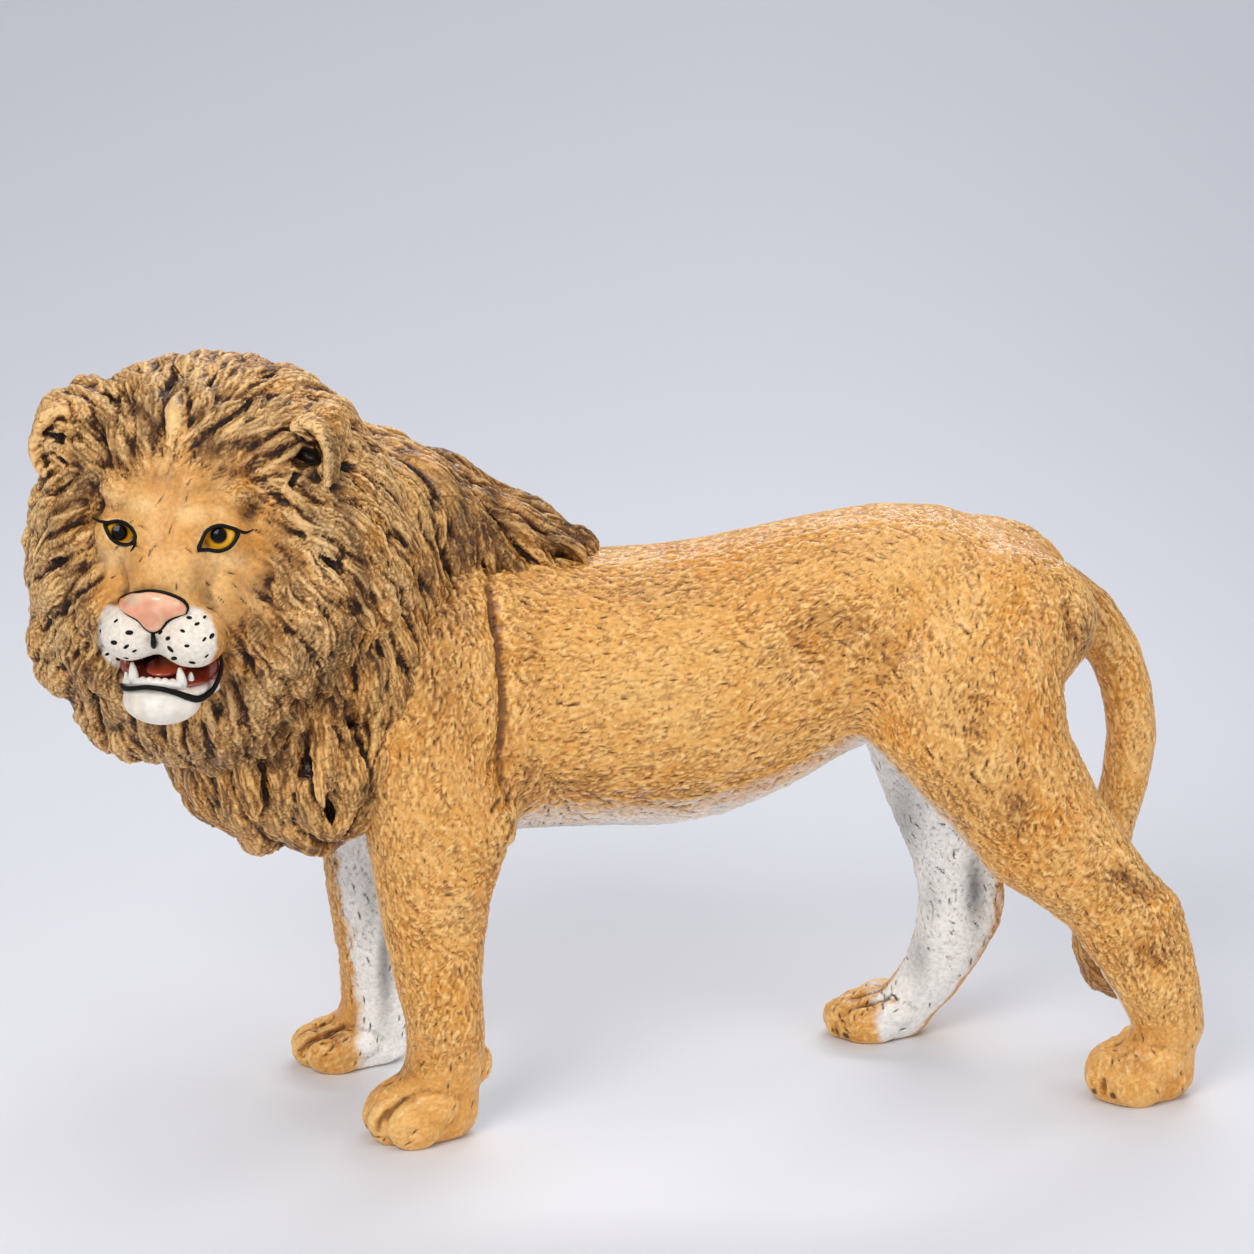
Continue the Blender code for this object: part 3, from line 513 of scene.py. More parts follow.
LOCK_RING = 26
LOCK_STATIONS = 12
LOCK_WIDTH_SHARES = np.array([0.30, 0.62, 0.84, 0.97, 1.0, 0.98, 0.92, 0.82, 0.68, 0.50, 0.30, 0.12])
LOCK_LIFT_SHARES = np.array([-0.9, -0.45, -0.1, 0.12, 0.25, 0.3, 0.28, 0.2, 0.08, -0.08, -0.3, -0.6])
LOCK_THICK_SHARES = (0.35, 1.3)
LOCK_ROOT = 0.3
LOCK_TIP = 0.8
LOCK_ROLL = 0.35
LOCK_ROLL_PACE = 3.0

# How much locks of one kind differ, and the most points that are tried as their middles
LENGTH_SHARES = (0.75, 1.3)
WIDTH_SHARES = (0.7, 1.25)
HEIGHT_SHARES = (0.7, 1.35)
LOCK_BEND = 0.7
LOCK_TWIST = 6.28
MOST_TRIES = 9000


def laid_lock(tree, comb, seed, length, width, height, bend, twist):
    """A tapered lock that follows the combed hair over a skin, and its stations for the strands on it."""
    half = LOCK_STATIONS // 2
    stride = length / (LOCK_STATIONS - 1)
    halves = []
    for sense, count in ((-1.0, half), (1.0, LOCK_STATIONS - half)):
        place, (normal,) = seed, nearest(tree, [seed])[1]
        path = []
        for _ in range(count):
            path.append((place, normal))
            way = comb.flow(place[None], normal[None])[0]
            (place,), (normal,) = nearest(tree, [place + way * stride * sense])
        halves.append(path)
    stations = halves[0][:0:-1] + halves[1]
    path = np.array([station[0] for station in stations])
    out = np.array([station[1] for station in stations])
    count = len(path)
    share = np.linspace(0.0, 1.0, count)
    along = unit(np.gradient(path, axis=0))
    across = unit(np.cross(along, out))
    wide = np.interp(share, np.linspace(0, 1, LOCK_STATIONS), LOCK_WIDTH_SHARES) * width / 2.0
    lift = np.interp(share, np.linspace(0, 1, LOCK_STATIONS), LOCK_LIFT_SHARES)
    path = path + out * (lift * height)[:, None]
    path = path + across * (bend * np.sin(share * 2.0 * np.pi + twist))[:, None]
    roll = (LOCK_ROLL * np.sin(twist + LOCK_ROLL_PACE * share))[:, None]
    side = across * np.cos(roll) + out * np.sin(roll)
    top = out * np.cos(roll) - across * np.sin(roll)
    thick = height * (LOCK_THICK_SHARES[0] + LOCK_THICK_SHARES[1] * wide / width)
    circle = np.linspace(0.0, 2.0 * np.pi, LOCK_RING, endpoint=False)
    rings = [path[i] + np.outer(np.cos(circle), side[i]) * wide[i]
             + np.outer(np.sin(circle), top[i]) * thick[i] for i in range(count)]
    strands = max(3.0, round(math.pi * (width / 2.0 + height) / STRAND))
    lock = np.column_stack([path, side, top, along, wide, thick, share, np.full(count, strands),
                            np.full(count, twist)])
    return skin_rings(rings, path[0] - along[0] * LOCK_ROOT, path[-1] + along[-1] * LOCK_TIP), lock


def spaced_seeds(clay, where, spacing):
    """Points of a skin that keep a distance to each other."""
    picked = []
    for i in CHANCE.permutation(np.flatnonzero(where))[:MOST_TRIES]:
        point = clay.points[i]
        if not picked or (((np.array(picked) - point) ** 2).sum(1) > spacing * spacing).all():
            picked.append(point)
    return picked


def hair_locks(clay, comb, where, spacing, length, width, height):
    """Locks laid all over a part of a skin."""
    tree = clay.tree()
    locks = []
    for seed in spaced_seeds(clay, where, spacing):
        scale = CHANCE.uniform(*LENGTH_SHARES)
        locks.append(laid_lock(tree, comb, seed, length * scale, width * CHANCE.uniform(*WIDTH_SHARES),
                               height * CHANCE.uniform(*HEIGHT_SHARES),
                               CHANCE.uniform(-LOCK_BEND, LOCK_BEND), CHANCE.uniform(0.0, LOCK_TWIST)))
    return locks


# Strands: rows of places round a lock, pace and size of their waves, and how far from a lock they reach
LOCK_ROWS = 7
LOCK_PACE = 12.0
WAVE_PACE = 9.0
WAVE = 0.18
TONE_PACE = 7.0
HAIR_REACH = 0.9
HAIR_FULL = 1.6


def strands_on(clay, locks):
    """Each point's place on the lock that it belongs to: strand, lock's tone, and 1 where there is a lock."""
    stations = np.concatenate([lock for _, lock in locks])
    middle, side, top, along = (stations[:, i:i + 3] for i in (0, 3, 6, 9))
    wide, thick, share, strands, twist = stations[:, 12:].T
    turns = np.linspace(0.0, np.pi, LOCK_ROWS)
    rims = [middle + side * (wide * math.cos(turn))[:, None] + top * (thick * math.sin(turn))[:, None]
            for turn in turns]
    tree = KDTree(len(stations) * len(turns))
    for i, rim in enumerate(rims):
        for j, place in enumerate(rim.tolist()):
            tree.insert(place, i * len(stations) + j)
    tree.balance()
    found = [tree.find(place)[1:] for place in clay.points.tolist()]
    owner, gap = np.array(found).T
    owner = owner.astype(int) % len(stations)
    way = clay.points - middle[owner]
    aside = (way * side[owner]).sum(1) / wide[owner]
    high = (way * top[owner]).sum(1) / thick[owner]
    turn = np.mod(np.arctan2(high, aside) + np.pi / 2.0, 2.0 * np.pi)
    place = share[owner] + (way * along[owner]).sum(1) / LOCK_PACE
    wave = WAVE * np.sin(WAVE_PACE * place + twist[owner])
    strand = turn / (2.0 * np.pi) * strands[owner] + wave + twist[owner]
    return strand, np.sin(TONE_PACE * twist[owner]), np.clip(HAIR_FULL - gap / HAIR_REACH, 0.0, 1.0)


# Strokes: how many near ones a point looks at, the spread of their lie, and the widths of line and pit
NEAR_DABS = 9
DAB_TURN = 0.3
DAB_LINE_SHARE = 0.32
DAB_LINE_SHARES = (0.25, 1.0)
PIT_SHARE = 0.34


# More cells than a skin is long, to give each cell of space a number of its own
CELLS = 4096


def dabs_on(clay, flow, size, pit_share):
    """Short strokes carved side by side along the hair: the line round each, its tone, and pits in some."""
    spacing, length, width = size
    order = CHANCE.permutation(clay.count)
    cells = np.floor(clay.points[order] / spacing).astype(np.int64)
    _, first = np.unique(cells @ np.array([1, CELLS, CELLS * CELLS]), return_index=True)
    seeds = order[first]
    tree = KDTree(len(seeds))
    for i, place in enumerate(clay.points[seeds].tolist()):
        tree.insert(place, i)
    tree.balance()
    near = np.array([[hit[1] for hit in tree.find_n(place, NEAR_DABS)] for place in clay.points.tolist()])
    way = clay.points[:, None, :] - clay.points[seeds][near]
    turn = CHANCE.normal(0.0, DAB_TURN, len(seeds))[:, None]
    lie = flow[seeds] * np.cos(turn) + np.cross(clay.normals[seeds], flow[seeds]) * np.sin(turn)
    lie = lie[near]
    along = (way * lie).sum(-1)
    aside = np.linalg.norm(way - along[..., None] * lie, axis=-1)
    gap = np.sqrt((along / length) ** 2 + (aside / width) ** 2)
    rank = np.argsort(gap, axis=1)
    rows = np.arange(clay.count)
    inner = gap[rows, rank[:, 0]]
    owner = near[rows, rank[:, 0]]
    edge = np.exp(-((gap[rows, rank[:, 1]] - inner) / DAB_LINE_SHARE) ** 2)
    line = edge * CHANCE.uniform(*DAB_LINE_SHARES, len(seeds))[owner]
    tone = CHANCE.uniform(-1.0, 1.0, len(seeds))[owner]
    pits = (CHANCE.random(len(seeds))[owner] < pit_share) * np.exp(-(inner / PIT_SHARE) ** 2)
    return line, tone, pits


SWING_BLUR = 14


def strokes_on(clay, flow, length, waver):
    """Fine wavy grooves that run with the hair."""
    swing = clay.blurred(CHANCE.normal(size=clay.count), SWING_BLUR)
    swing = (waver * swing / swing.std())[:, None]
    way = flow * np.cos(swing) + np.cross(clay.normals, flow) * np.sin(swing)
    trail = clay.trails(way, length, clay.grain())
    speck = clay.blurred(CHANCE.random(clay.count), 1)
    groove = np.mean([speck[met] for met in trail], axis=0)
    return (groove - groove.mean()) / groove.std()


def zone_share(pixels, zones):
    """How far pixels of the photograph lie in soft oval zones of wash."""
    share = np.zeros(len(pixels))
    for middle, radii, strength in zones:
        gap = (((pixels - middle) / radii) ** 2).sum(1)
        share = np.maximum(share, strength * np.exp(-gap))
    return share


# Into how many points a line drawn on the photograph is split
LINE_STATIONS = 24


def line_share(pixels, path, width):
    """How near pixels of the photograph lie to a line drawn on it."""
    path = smooth_path(path, LINE_STATIONS)
    gap = np.min([to_segment(pixels, a, b)[0] for a, b in zip(path, path[1:])], axis=0)
    return np.exp(-(gap / width) ** 2)


def inside(pixels, outline):
    """How far pixels lie inside an outline drawn on the photograph; outside it the distance is negative."""
    outline = np.asarray(outline, float)
    within = np.zeros(len(pixels), bool)
    gap = np.full(len(pixels), FAR)
    for a, b in zip(outline, np.roll(outline, -1, axis=0)):
        crosses = (a[1] > pixels[:, 1]) != (b[1] > pixels[:, 1])
        if b[1] != a[1]:
            edge = (b[0] - a[0]) * (pixels[:, 1] - a[1]) / (b[1] - a[1]) + a[0]
            within ^= crosses & (pixels[:, 0] < edge)
        gap = np.minimum(gap, to_segment(pixels, a, b)[0])
    return np.where(within, gap, -gap)


def relief_of(clay, times):
    """How far points stand above or below the skin round them, as a share of its usual relief."""
    soft = clay.points
    for _ in range(times):
        soft = STEADY_SHARE * soft + (1.0 - STEADY_SHARE) * clay.spread(soft)
    height = ((clay.points - soft) * clay.normals).sum(1)
    return height / max(height.std(), 1e-6)


# The plane through the spine, to which both sides mirror
MIDDLE_PLANE = (np.zeros(3), (0.0, 1.0, 0.0))

# Strokes of the comb, as pairs of pixels of the photograph from a hair's root to its tip

BODY_STROKES = (
    ((520, 560), (560, 575)), ((600, 590), (640, 592)), ((700, 560), (740, 556)), ((800, 530), (840, 524)),
    ((880, 522), (915, 537)), ((940, 560), (960, 600)), ((560, 650), (600, 655)), ((660, 660), (700, 660)),
    ((560, 740), (600, 745)), ((660, 750), (700, 740)), ((760, 700), (795, 680)), ((740, 620), (775, 610)),
    ((800, 640), (835, 622)), ((850, 640), (875, 665)), ((830, 700), (860, 690)), ((900, 620), (915, 660)),
    ((930, 700), (938, 740)), ((980, 620), (990, 665)), ((1000, 720), (1010, 760)), ((880, 760), (905, 800)),
    ((950, 800), (970, 835)), ((1000, 860), (1030, 885)), ((1080, 900), (1105, 930)),
    ((1130, 950), (1140, 990)), ((1120, 1020), (1114, 1050)), ((1100, 1065), (1070, 1075)),
    ((450, 640), (455, 680)), ((480, 700), (478, 740)), ((440, 760), (445, 800)), ((405, 830), (412, 870)),
    ((450, 860), (478, 868)), ((440, 920), (470, 926)), ((460, 980), (463, 1010)), ((450, 1040), (447, 1070)),
    ((425, 1095), (395, 1105)), ((525, 795), (507, 830)), ((345, 900), (349, 940)), ((356, 980), (360, 1020)),
    ((330, 1040), (308, 1050)), ((890, 800), (897, 840)), ((870, 900), (880, 940)), ((850, 990), (838, 1010)),
)

RUFF_STROKES = (
    ((147, 455), (120, 414)), ((106, 455), (74, 422)), ((169, 432), (166, 392)), ((201, 453), (228, 411)),
    ((233, 460), (279, 417)), ((83, 492), (50, 512)), ((80, 540), (44, 557)), ((77, 590), (41, 602)),
    ((74, 619), (50, 651)), ((83, 655), (60, 693)), ((106, 690), (92, 727)), ((153, 736), (157, 768)),
    ((120, 722), (117, 752)), ((265, 533), (297, 556)), ((275, 501), (311, 522)), ((265, 587), (297, 617)),
    ((307, 540), (343, 582)), ((240, 640), (262, 672)), ((236, 690), (246, 725)), ((208, 722), (214, 752)),
    ((281, 651), (304, 686)), ((329, 619), (323, 651)), ((340, 560), (365, 600)), ((300, 470), (335, 480)),
)

NECK_STROKES = (
    ((352, 428), (400, 446)), ((373, 464), (420, 490)), ((422, 500), (428, 550)), ((364, 505), (402, 550)),
    ((411, 559), (424, 620)), ((373, 566), (403, 604)), ((385, 623), (405, 668)), ((392, 680), (388, 730)),
    ((350, 690), (352, 740)), ((332, 745), (338, 790)), ((380, 730), (370, 780)), ((348, 785), (355, 824)),
    ((306, 798), (314, 838)), ((201, 768), (215, 804)), ((252, 757), (260, 801)), ((233, 820), (250, 845)),
    ((290, 760), (296, 800)), ((453, 470), (502, 490)), ((491, 505), (536, 527)), ((556, 527), (588, 543)),
    ((434, 450), (474, 464)),
)


# Body: trunk and legs under one painted skin

# Paws: middle on the ground, turn outwards and height against the near front one
PAWS = {
    "front_left": (-23.9, -9.3, 0.16, 0.98),
    "front_right": (-30.3, 15.4, 0.05, 0.78),
    "hind_left": (63.9, -9.3, 0.08, 1.04),
    "hind_right": (36.6, 15.7, 0.0, 0.74),
}
PAW_SHIFT = 2.2
PAW_SQUEEZE_SHARE = 0.8
PAW_HALF_LENGTH = 13.0
PAW_TOP = 15.0
PAW_BLEND = 9.0
FAR_PAW_MOVE = (0.8, -2.1)
FAR_PAW_TOP = 7.0
DEW_PAD = (480.0, 1062.0)
DEW_PAD_RADII = (1.5, 1.9, 2.4)

# Toes: place aside and back, and size; the gaps between them; half-axes and lift of toe and knuckle
TOE_PLACES = ((-3.75, -3.0, 0.92), (-1.35, -5.3, 1.0), (1.35, -5.3, 1.0), (3.75, -3.0, 0.92))
TOE_BACK_SHARE = 0.6
TOE_GAPS = (-2.6, 0.0, 2.6)
TOE_RADII = (3.9, 1.72, 3.4)
TOE_LIFT = 2.9
KNUCKLE_RADII = (3.1, 1.5, 2.5)
KNUCKLE_LIFT = 4.9
KNUCKLE_BACK = 2.3

# The line between two toes: ahead, spread to the sides and height; how it curves back beside the middle
TOE_LINE = ((-0.6, 1.06, 7.6), (3.0, 1.04, 6.4), (5.6, 1.0, 4.6), (6.9, 1.0, 2.4), (6.7, 0.98, 0.4))
TOE_LINE_CURVE = (0.1, 1.9)
CLAW_AHEAD = 3.8
CLAW_INSET = 0.3
CLAW_LIFT = 1.5


def paw_axes(centre_x, centre_y, turn):
    """A paw's middle on the ground and its directions ahead, aside and up."""
    ahead = np.array([-math.cos(turn), math.sin(turn) * np.sign(centre_y), 0.0])
    return np.array([centre_x, centre_y, 0.0]), np.array([ahead, [ahead[1], -ahead[0], 0.0], UP])


def paw_solids(centre_x, centre_y, turn, tall):
    """Four toes, each with its knuckle."""
    middle, axes = paw_axes(centre_x, centre_y, turn)
    ahead, aside, _ = axes
    solids = []
    for aside_by, back, size in TOE_PLACES:
        tip = middle - ahead * back * TOE_BACK_SHARE + aside * aside_by
        long, wide, high = TOE_RADII
        solids.append(ball(tip + UP * TOE_LIFT * tall, (long * size, wide * size, high * size * tall), axes))
        long, wide, high = KNUCKLE_RADII
        solids.append(ball(tip + UP * KNUCKLE_LIFT * tall - ahead * KNUCKLE_BACK, (long, wide, high * tall),
                           axes))
    return solids


TOE_STATIONS = 7


def toe_grooves(centre_x, centre_y, turn, tall):
    """The lines that part a paw's toes, from the knuckles down to the ground."""
    middle, axes = paw_axes(centre_x, centre_y, turn)
    curve, power = TOE_LINE_CURVE
    lines = []
    for aside_by in TOE_GAPS:
        back = curve * abs(aside_by) ** power
        lines.append(smooth_path([middle + np.array([ahead - back, aside_by * spread, high * tall]) @ axes
                                  for ahead, spread, high in TOE_LINE], TOE_STATIONS))
    return lines


def claw_places(centre_x, centre_y, turn, tall):
    """Where the claws show at the tips of the toes."""
    middle, axes = paw_axes(centre_x, centre_y, turn)
    return [middle + np.array([CLAW_AHEAD - back * TOE_BACK_SHARE - CLAW_INSET, aside_by,
                               CLAW_LIFT * tall]) @ axes
            for aside_by, back, _ in TOE_PLACES]


BODY_NODES = ("trunk_left", "trunk_right", "front_leg_left", "front_leg_right", "hind_leg_left",
              "hind_leg_right")
NODE_OVERLAP = 0.2


# Rounds of smoothing, and how much each gives back: for a bare base, and for the body with its paws
BASE_SMOOTHING = (40, 1.0)
BODY_SMOOTHING = (5, 0.6)
PAW_SHARP = 6


def body_clay():
    """The skin of trunk and legs before its hair is cut."""
    base = made_object("body_base", [node_solid(name, NODE_OVERLAP) for name in BODY_NODES])
    voxels(base, BASE_GRAIN)
    clay = Clay(base)
    clay.push(-NODE_OVERLAP)
    clay.relax(*BASE_SMOOTHING)
    for centre_x, centre_y, _, _ in PAWS.values():
        old_y = centre_y - PAW_SHIFT
        x, y, z = clay.points.T
        near = np.exp(-((x - centre_x) / PAW_HALF_LENGTH) ** PAW_SHARP) * (y * centre_y > 0.0)
        near = near * np.clip((PAW_TOP - z) / PAW_BLEND, 0.0, 1.0)
        clay.points[:, 1] += near * (PAW_SHIFT + (PAW_SQUEEZE_SHARE - 1.0) * (y - old_y))
        if centre_y > 0.0:
            clay.points[:, 0] += near * FAR_PAW_MOVE[0]
            clay.points[:, 2] += near * FAR_PAW_MOVE[1] * np.clip(z / FAR_PAW_TOP, 0.0, 1.0)
    clay.update()
    solids = [(clay.points, [tuple(face.vertices) for face in base.data.polygons])]
    for paw in PAWS.values():
        solids += paw_solids(*paw)
    way = sight(DEW_PAD)
    solids.append(ball(EYE + way * (PAWS["front_left"][1] - EYE[1]) / way[1], DEW_PAD_RADII))
    skin = made_object("body_skin", solids)
    bpy.data.objects.remove(base, do_unlink=True)
    voxels(skin, BODY_GRAIN)
    clay = Clay(skin)
    clay.relax(*BODY_SMOOTHING)
    return clay


# Points along creases, toe lines and the spine, and how sharply a claw's mark ends
CREASE_STATIONS = 10
SPINE_STATIONS = 12
CLAW_SHARP = 4

# Creases and ridges of the body, in pixels
SHOULDER_CREASE = ((486, 556), (491, 596), (498, 640), (503, 700), (501, 760), (508, 800))
SHOULDER_EDGE = ((472, 560), (480, 610), (488, 660), (491, 720), (488, 770))
FLANK_HOLLOW = ((798, 662), (825, 640), (862, 650))
FLANK_RIM = ((768, 668), (782, 628), (822, 603), (868, 612), (892, 650))
THIGH_HOLLOW = ((985, 690), (968, 745))
THIGH_RIM = ((1012, 690), (1000, 740), (985, 790))
HOCK_GROOVE = ((1112, 862), (1136, 885), (1160, 908))
HEEL_GROOVE = ((1128, 936), (1148, 956), (1166, 974))
ACHILLES = ((1112, 846), (1134, 868), (1158, 894))
ELBOW = ((508, 800), (509, 825), (504, 850))
TAIL_CREASE = ((1062, 596), (1072, 622), (1076, 650))
ELBOW_STROKES = (
    ((497, 822), (508, 806)), ((499, 832), (512, 815)), ((500, 843), (514, 826)), ((499, 855), (512, 840)),
    ((497, 866), (508, 853)), ((492, 812), (500, 799)),
)

# Each with its width and depth, where a negative depth is a ridge
BODY_CARVING = (
    (SHOULDER_EDGE, 2.6, -1.0), (SHOULDER_CREASE, 1.6, 0.7), (SHOULDER_CREASE, 0.6, 0.7),
    (FLANK_HOLLOW, 6.0, 0.6), (FLANK_RIM, 1.8, -0.55), (THIGH_HOLLOW, 3.6, 0.6), (THIGH_RIM, 2.0, -0.4),
    (HOCK_GROOVE, 1.3, 0.6), (HEEL_GROOVE, 1.1, 0.4), (ACHILLES, 1.0, -0.5), (ELBOW, 2.2, -0.8),
    (TAIL_CREASE, 1.0, 0.9),
)
SPINE = ((-2.0, -0.5, 69.6), (10.7, -0.4, 70.2), (24.9, -0.2, 73.0), (35.0, 0.0, 74.0))
SPINE_RIDGE = (0.8, -0.45)
SPINE_GROOVE = (0.45, 0.45)
SPINE_HALF_WIDTH = 1.4
SPINE_DROP = 0.2
TOE_GROOVE = (0.48, 0.7)
ELBOW_GROOVE = (0.35, 0.35)

# Dark paint in the grooves: its width, and its share beside the spine, between the toes and at the shoulder
DARK_WIDTH = 0.35
ELBOW_DARK_WIDTH = 0.3
CLAW_WIDTH = 0.6
SPINE_DARK_SHARE = 0.55
TOE_DARK_SHARE = 0.8
SHOULDER_DARK_SHARE = 0.9

# Zones of brown wash on the side that shows, in pixels: middle, radii and strength
BROWN_ZONES = (
    ((450, 600), (26, 62), 0.9), ((440, 680), (26, 56), 0.55), ((512, 552), (30, 26), 0.75),
    ((560, 560), (44, 10), 0.5), ((840, 650), (50, 26), 0.3), ((885, 660), (16, 40), 0.3),
    ((560, 790), (60, 24), 0.55), ((660, 800), (90, 20), 0.45), ((530, 640), (14, 80), 0.3),
    ((530, 780), (20, 26), 0.6), ((650, 590), (60, 16), 0.3), ((975, 725), (14, 34), 0.5),
    ((1086, 640), (18, 26), 0.95), ((1050, 560), (18, 26), 0.35), ((468, 730), (10, 30), 0.3),
)
FLANK_ARC = ((777, 655), (801, 630), (832, 618), (868, 628))
LEG_ZONES = (
    ((1016, 812), (16, 26), 0.8), ((1136, 884), (30, 18), 0.9), ((1152, 955), (26, 14), 0.8),
    ((1172, 940), (10, 30), 0.4), ((515, 830), (9, 24), 0.6), ((402, 1070), (18, 10), 0.5),
    ((960, 800), (36, 34), 0.2), ((1128, 1062), (20, 12), 0.5), ((330, 1036), (36, 12), 0.9),
    ((345, 1060), (20, 8), 0.5), ((358, 1030), (8, 20), 0.6), ((872, 1000), (30, 12), 0.6),
    ((846, 1020), (14, 20), 0.5), ((890, 1010), (14, 12), 0.4),
)
GREY_ZONES = (
    ((975, 890), (10, 34), 0.9), ((385, 960), (8, 60), 0.8), ((372, 900), (12, 40), 0.4),
    ((920, 960), (12, 30), 0.45), ((905, 820), (18, 44), 0.5), ((600, 828), (90, 4), 0.6),
    ((930, 900), (10, 30), 0.3),
)
# Zones of brighter paint on the body
PALE_ZONES = (
    ((640, 670), (100, 70), 0.5), ((700, 640), (60, 50), 0.4), ((900, 560), (80, 30), 0.4),
    ((950, 650), (40, 60), 0.35), ((1000, 740), (16, 60), 0.35), ((430, 840), (30, 60), 0.3),
    ((1110, 740), (18, 90), 0.35), ((400, 1115), (40, 24), 0.3),
)
FLANK_ARC_WIDTH = 15.0
FLANK_ARC_SHARE = 0.45

# Heights that part trunk, legs and belly, and where the white paint on the inner legs ends above the toes
TRUNK_LOW = 33.0
LEG_TOP = 46.0
BELLY_LOW = 30.0
BELLY_TOP = 60.0
INNER_TOP = 52.0
INNER_BLEND = 6.0
INNER_SIDE = 5.0
BEHIND = 5.0
TOE_TOP = 8.0
TOE_TOP_BLEND = 4.0
TOES_BLEND = 3.0
HIND_TOES_X = (61.5, 33.5)
FRONT_TOES_X = (-23.0, -30.5)


# Fur of the body: steps and waver of its combing, heights of combing and tone, depths of line and pit
BODY_COMB = (2, 0.7)
BODY_COMBING = 0.05
BODY_TONE = 0.03
BODY_LINE = 0.17
BODY_PIT = 0.2
BODY_PIT_SHARES = (0.05, 0.42)

# The fur thins out down to the soles, which are bare
FUR_LOW = 1.0
FUR_BLEND = 14.0
FUR_LEAST_SHARE = 0.45
SOLE_BLEND = 0.8

# Patches and strengths of the body's paint
BODY_BROAD = 90
BODY_BROAD_SHARE = 0.28
BODY_LINE_SHARE = 0.82
BODY_TONE_SHARE = 0.6
UMBER_SHARE = 0.75
CALM_SHARE = 0.35
UMBER_LINE_SHARE = 0.4
BELLY_SHARE = 0.8
UMBER_PATCHES = 40
UMBER_PATCH_SHARE = 0.18
WHITE_PATCHES = 30
WHITE_PATCH_SHARE = 0.12
WHITE_BLUR = 10


def carve_body(clay, tree):
    """Creases, toes and the spine's ridge; gives back where dark paint fills them."""
    for pixels, width, depth in BODY_CARVING:
        path = traced(tree, pixels, CREASE_STATIONS)
        clay.carve(path, width, depth)
        clay.carve(path * (1.0, -1.0, 1.0), width, depth)
    spine = smooth_path(SPINE, SPINE_STATIONS)
    clay.carve(spine, *SPINE_RIDGE)
    dark = np.zeros(clay.count)
    for hand in (-1.0, 1.0):
        groove = spine + (0.0, hand * SPINE_HALF_WIDTH, -SPINE_DROP)
        clay.carve(groove, *SPINE_GROOVE)
        dark = np.maximum(dark, SPINE_DARK_SHARE * clay.near(groove, DARK_WIDTH))
    for paw in PAWS.values():
        for line in toe_grooves(*paw):
            clay.carve(line, *TOE_GROOVE)
            dark = np.maximum(dark, TOE_DARK_SHARE * clay.near(line, DARK_WIDTH))
        for claw in claw_places(*paw):
            dark = np.maximum(dark, clay.near(claw, CLAW_WIDTH, CLAW_SHARP))
    for stroke in ELBOW_STROKES:
        path = hits(tree, stroke)[0]
        clay.carve(path, *ELBOW_GROOVE)
        dark = np.maximum(dark, clay.near(path, ELBOW_DARK_WIDTH))
    crease = traced(tree, SHOULDER_CREASE, CREASE_STATIONS)
    return np.maximum(dark, SHOULDER_DARK_SHARE * clay.near(crease, DARK_WIDTH))


# How steeply the skin has to face down or inwards to be white, fore and aft, and the least white
UNDER_SLOPE = (1.6, 0.55)
INNER_LEAN = (-0.6, 0.45)
INNER_SLOPE = (0.25, 3.0)
WHITE_LEAST_SHARE = 0.1
GREY_LEAST_SHARE = 0.2


def white_on_body(clay):
    """Where belly and inner legs are white, down to the toes."""
    x, y, height = clay.points.T
    inward = -np.sign(y) * clay.normals[:, 1]
    under = np.clip(-clay.normals[:, 2] * UNDER_SLOPE[0] - UNDER_SLOPE[1], 0.0, 1.0)
    belly = under * (height > BELLY_LOW) * (height < BELLY_TOP)
    behind = x > BEHIND
    inward = inward + np.where(behind, *INNER_LEAN) * clay.normals[:, 0]
    inner = np.clip((inward - INNER_SLOPE[0]) * INNER_SLOPE[1], 0.0, 1.0)
    inner = inner * (np.abs(y) > INNER_SIDE) * np.clip((INNER_TOP - height) / INNER_BLEND, 0.0, 1.0)
    near_toes, far_toes = (np.where(behind, hind, front) for hind, front in zip(HIND_TOES_X, FRONT_TOES_X))
    toes = np.where(y > 0.0, far_toes, near_toes)
    inner = inner * np.clip(np.maximum((height - TOE_TOP) / TOE_TOP_BLEND, (x - toes) / TOES_BLEND), 0.0, 1.0)
    patchy = WHITE_PATCH_SHARE * clay.patches(WHITE_PATCHES) * (inner > WHITE_LEAST_SHARE)
    return np.clip(np.maximum(belly * BELLY_SHARE, inner) + patchy, 0.0, 1.0)


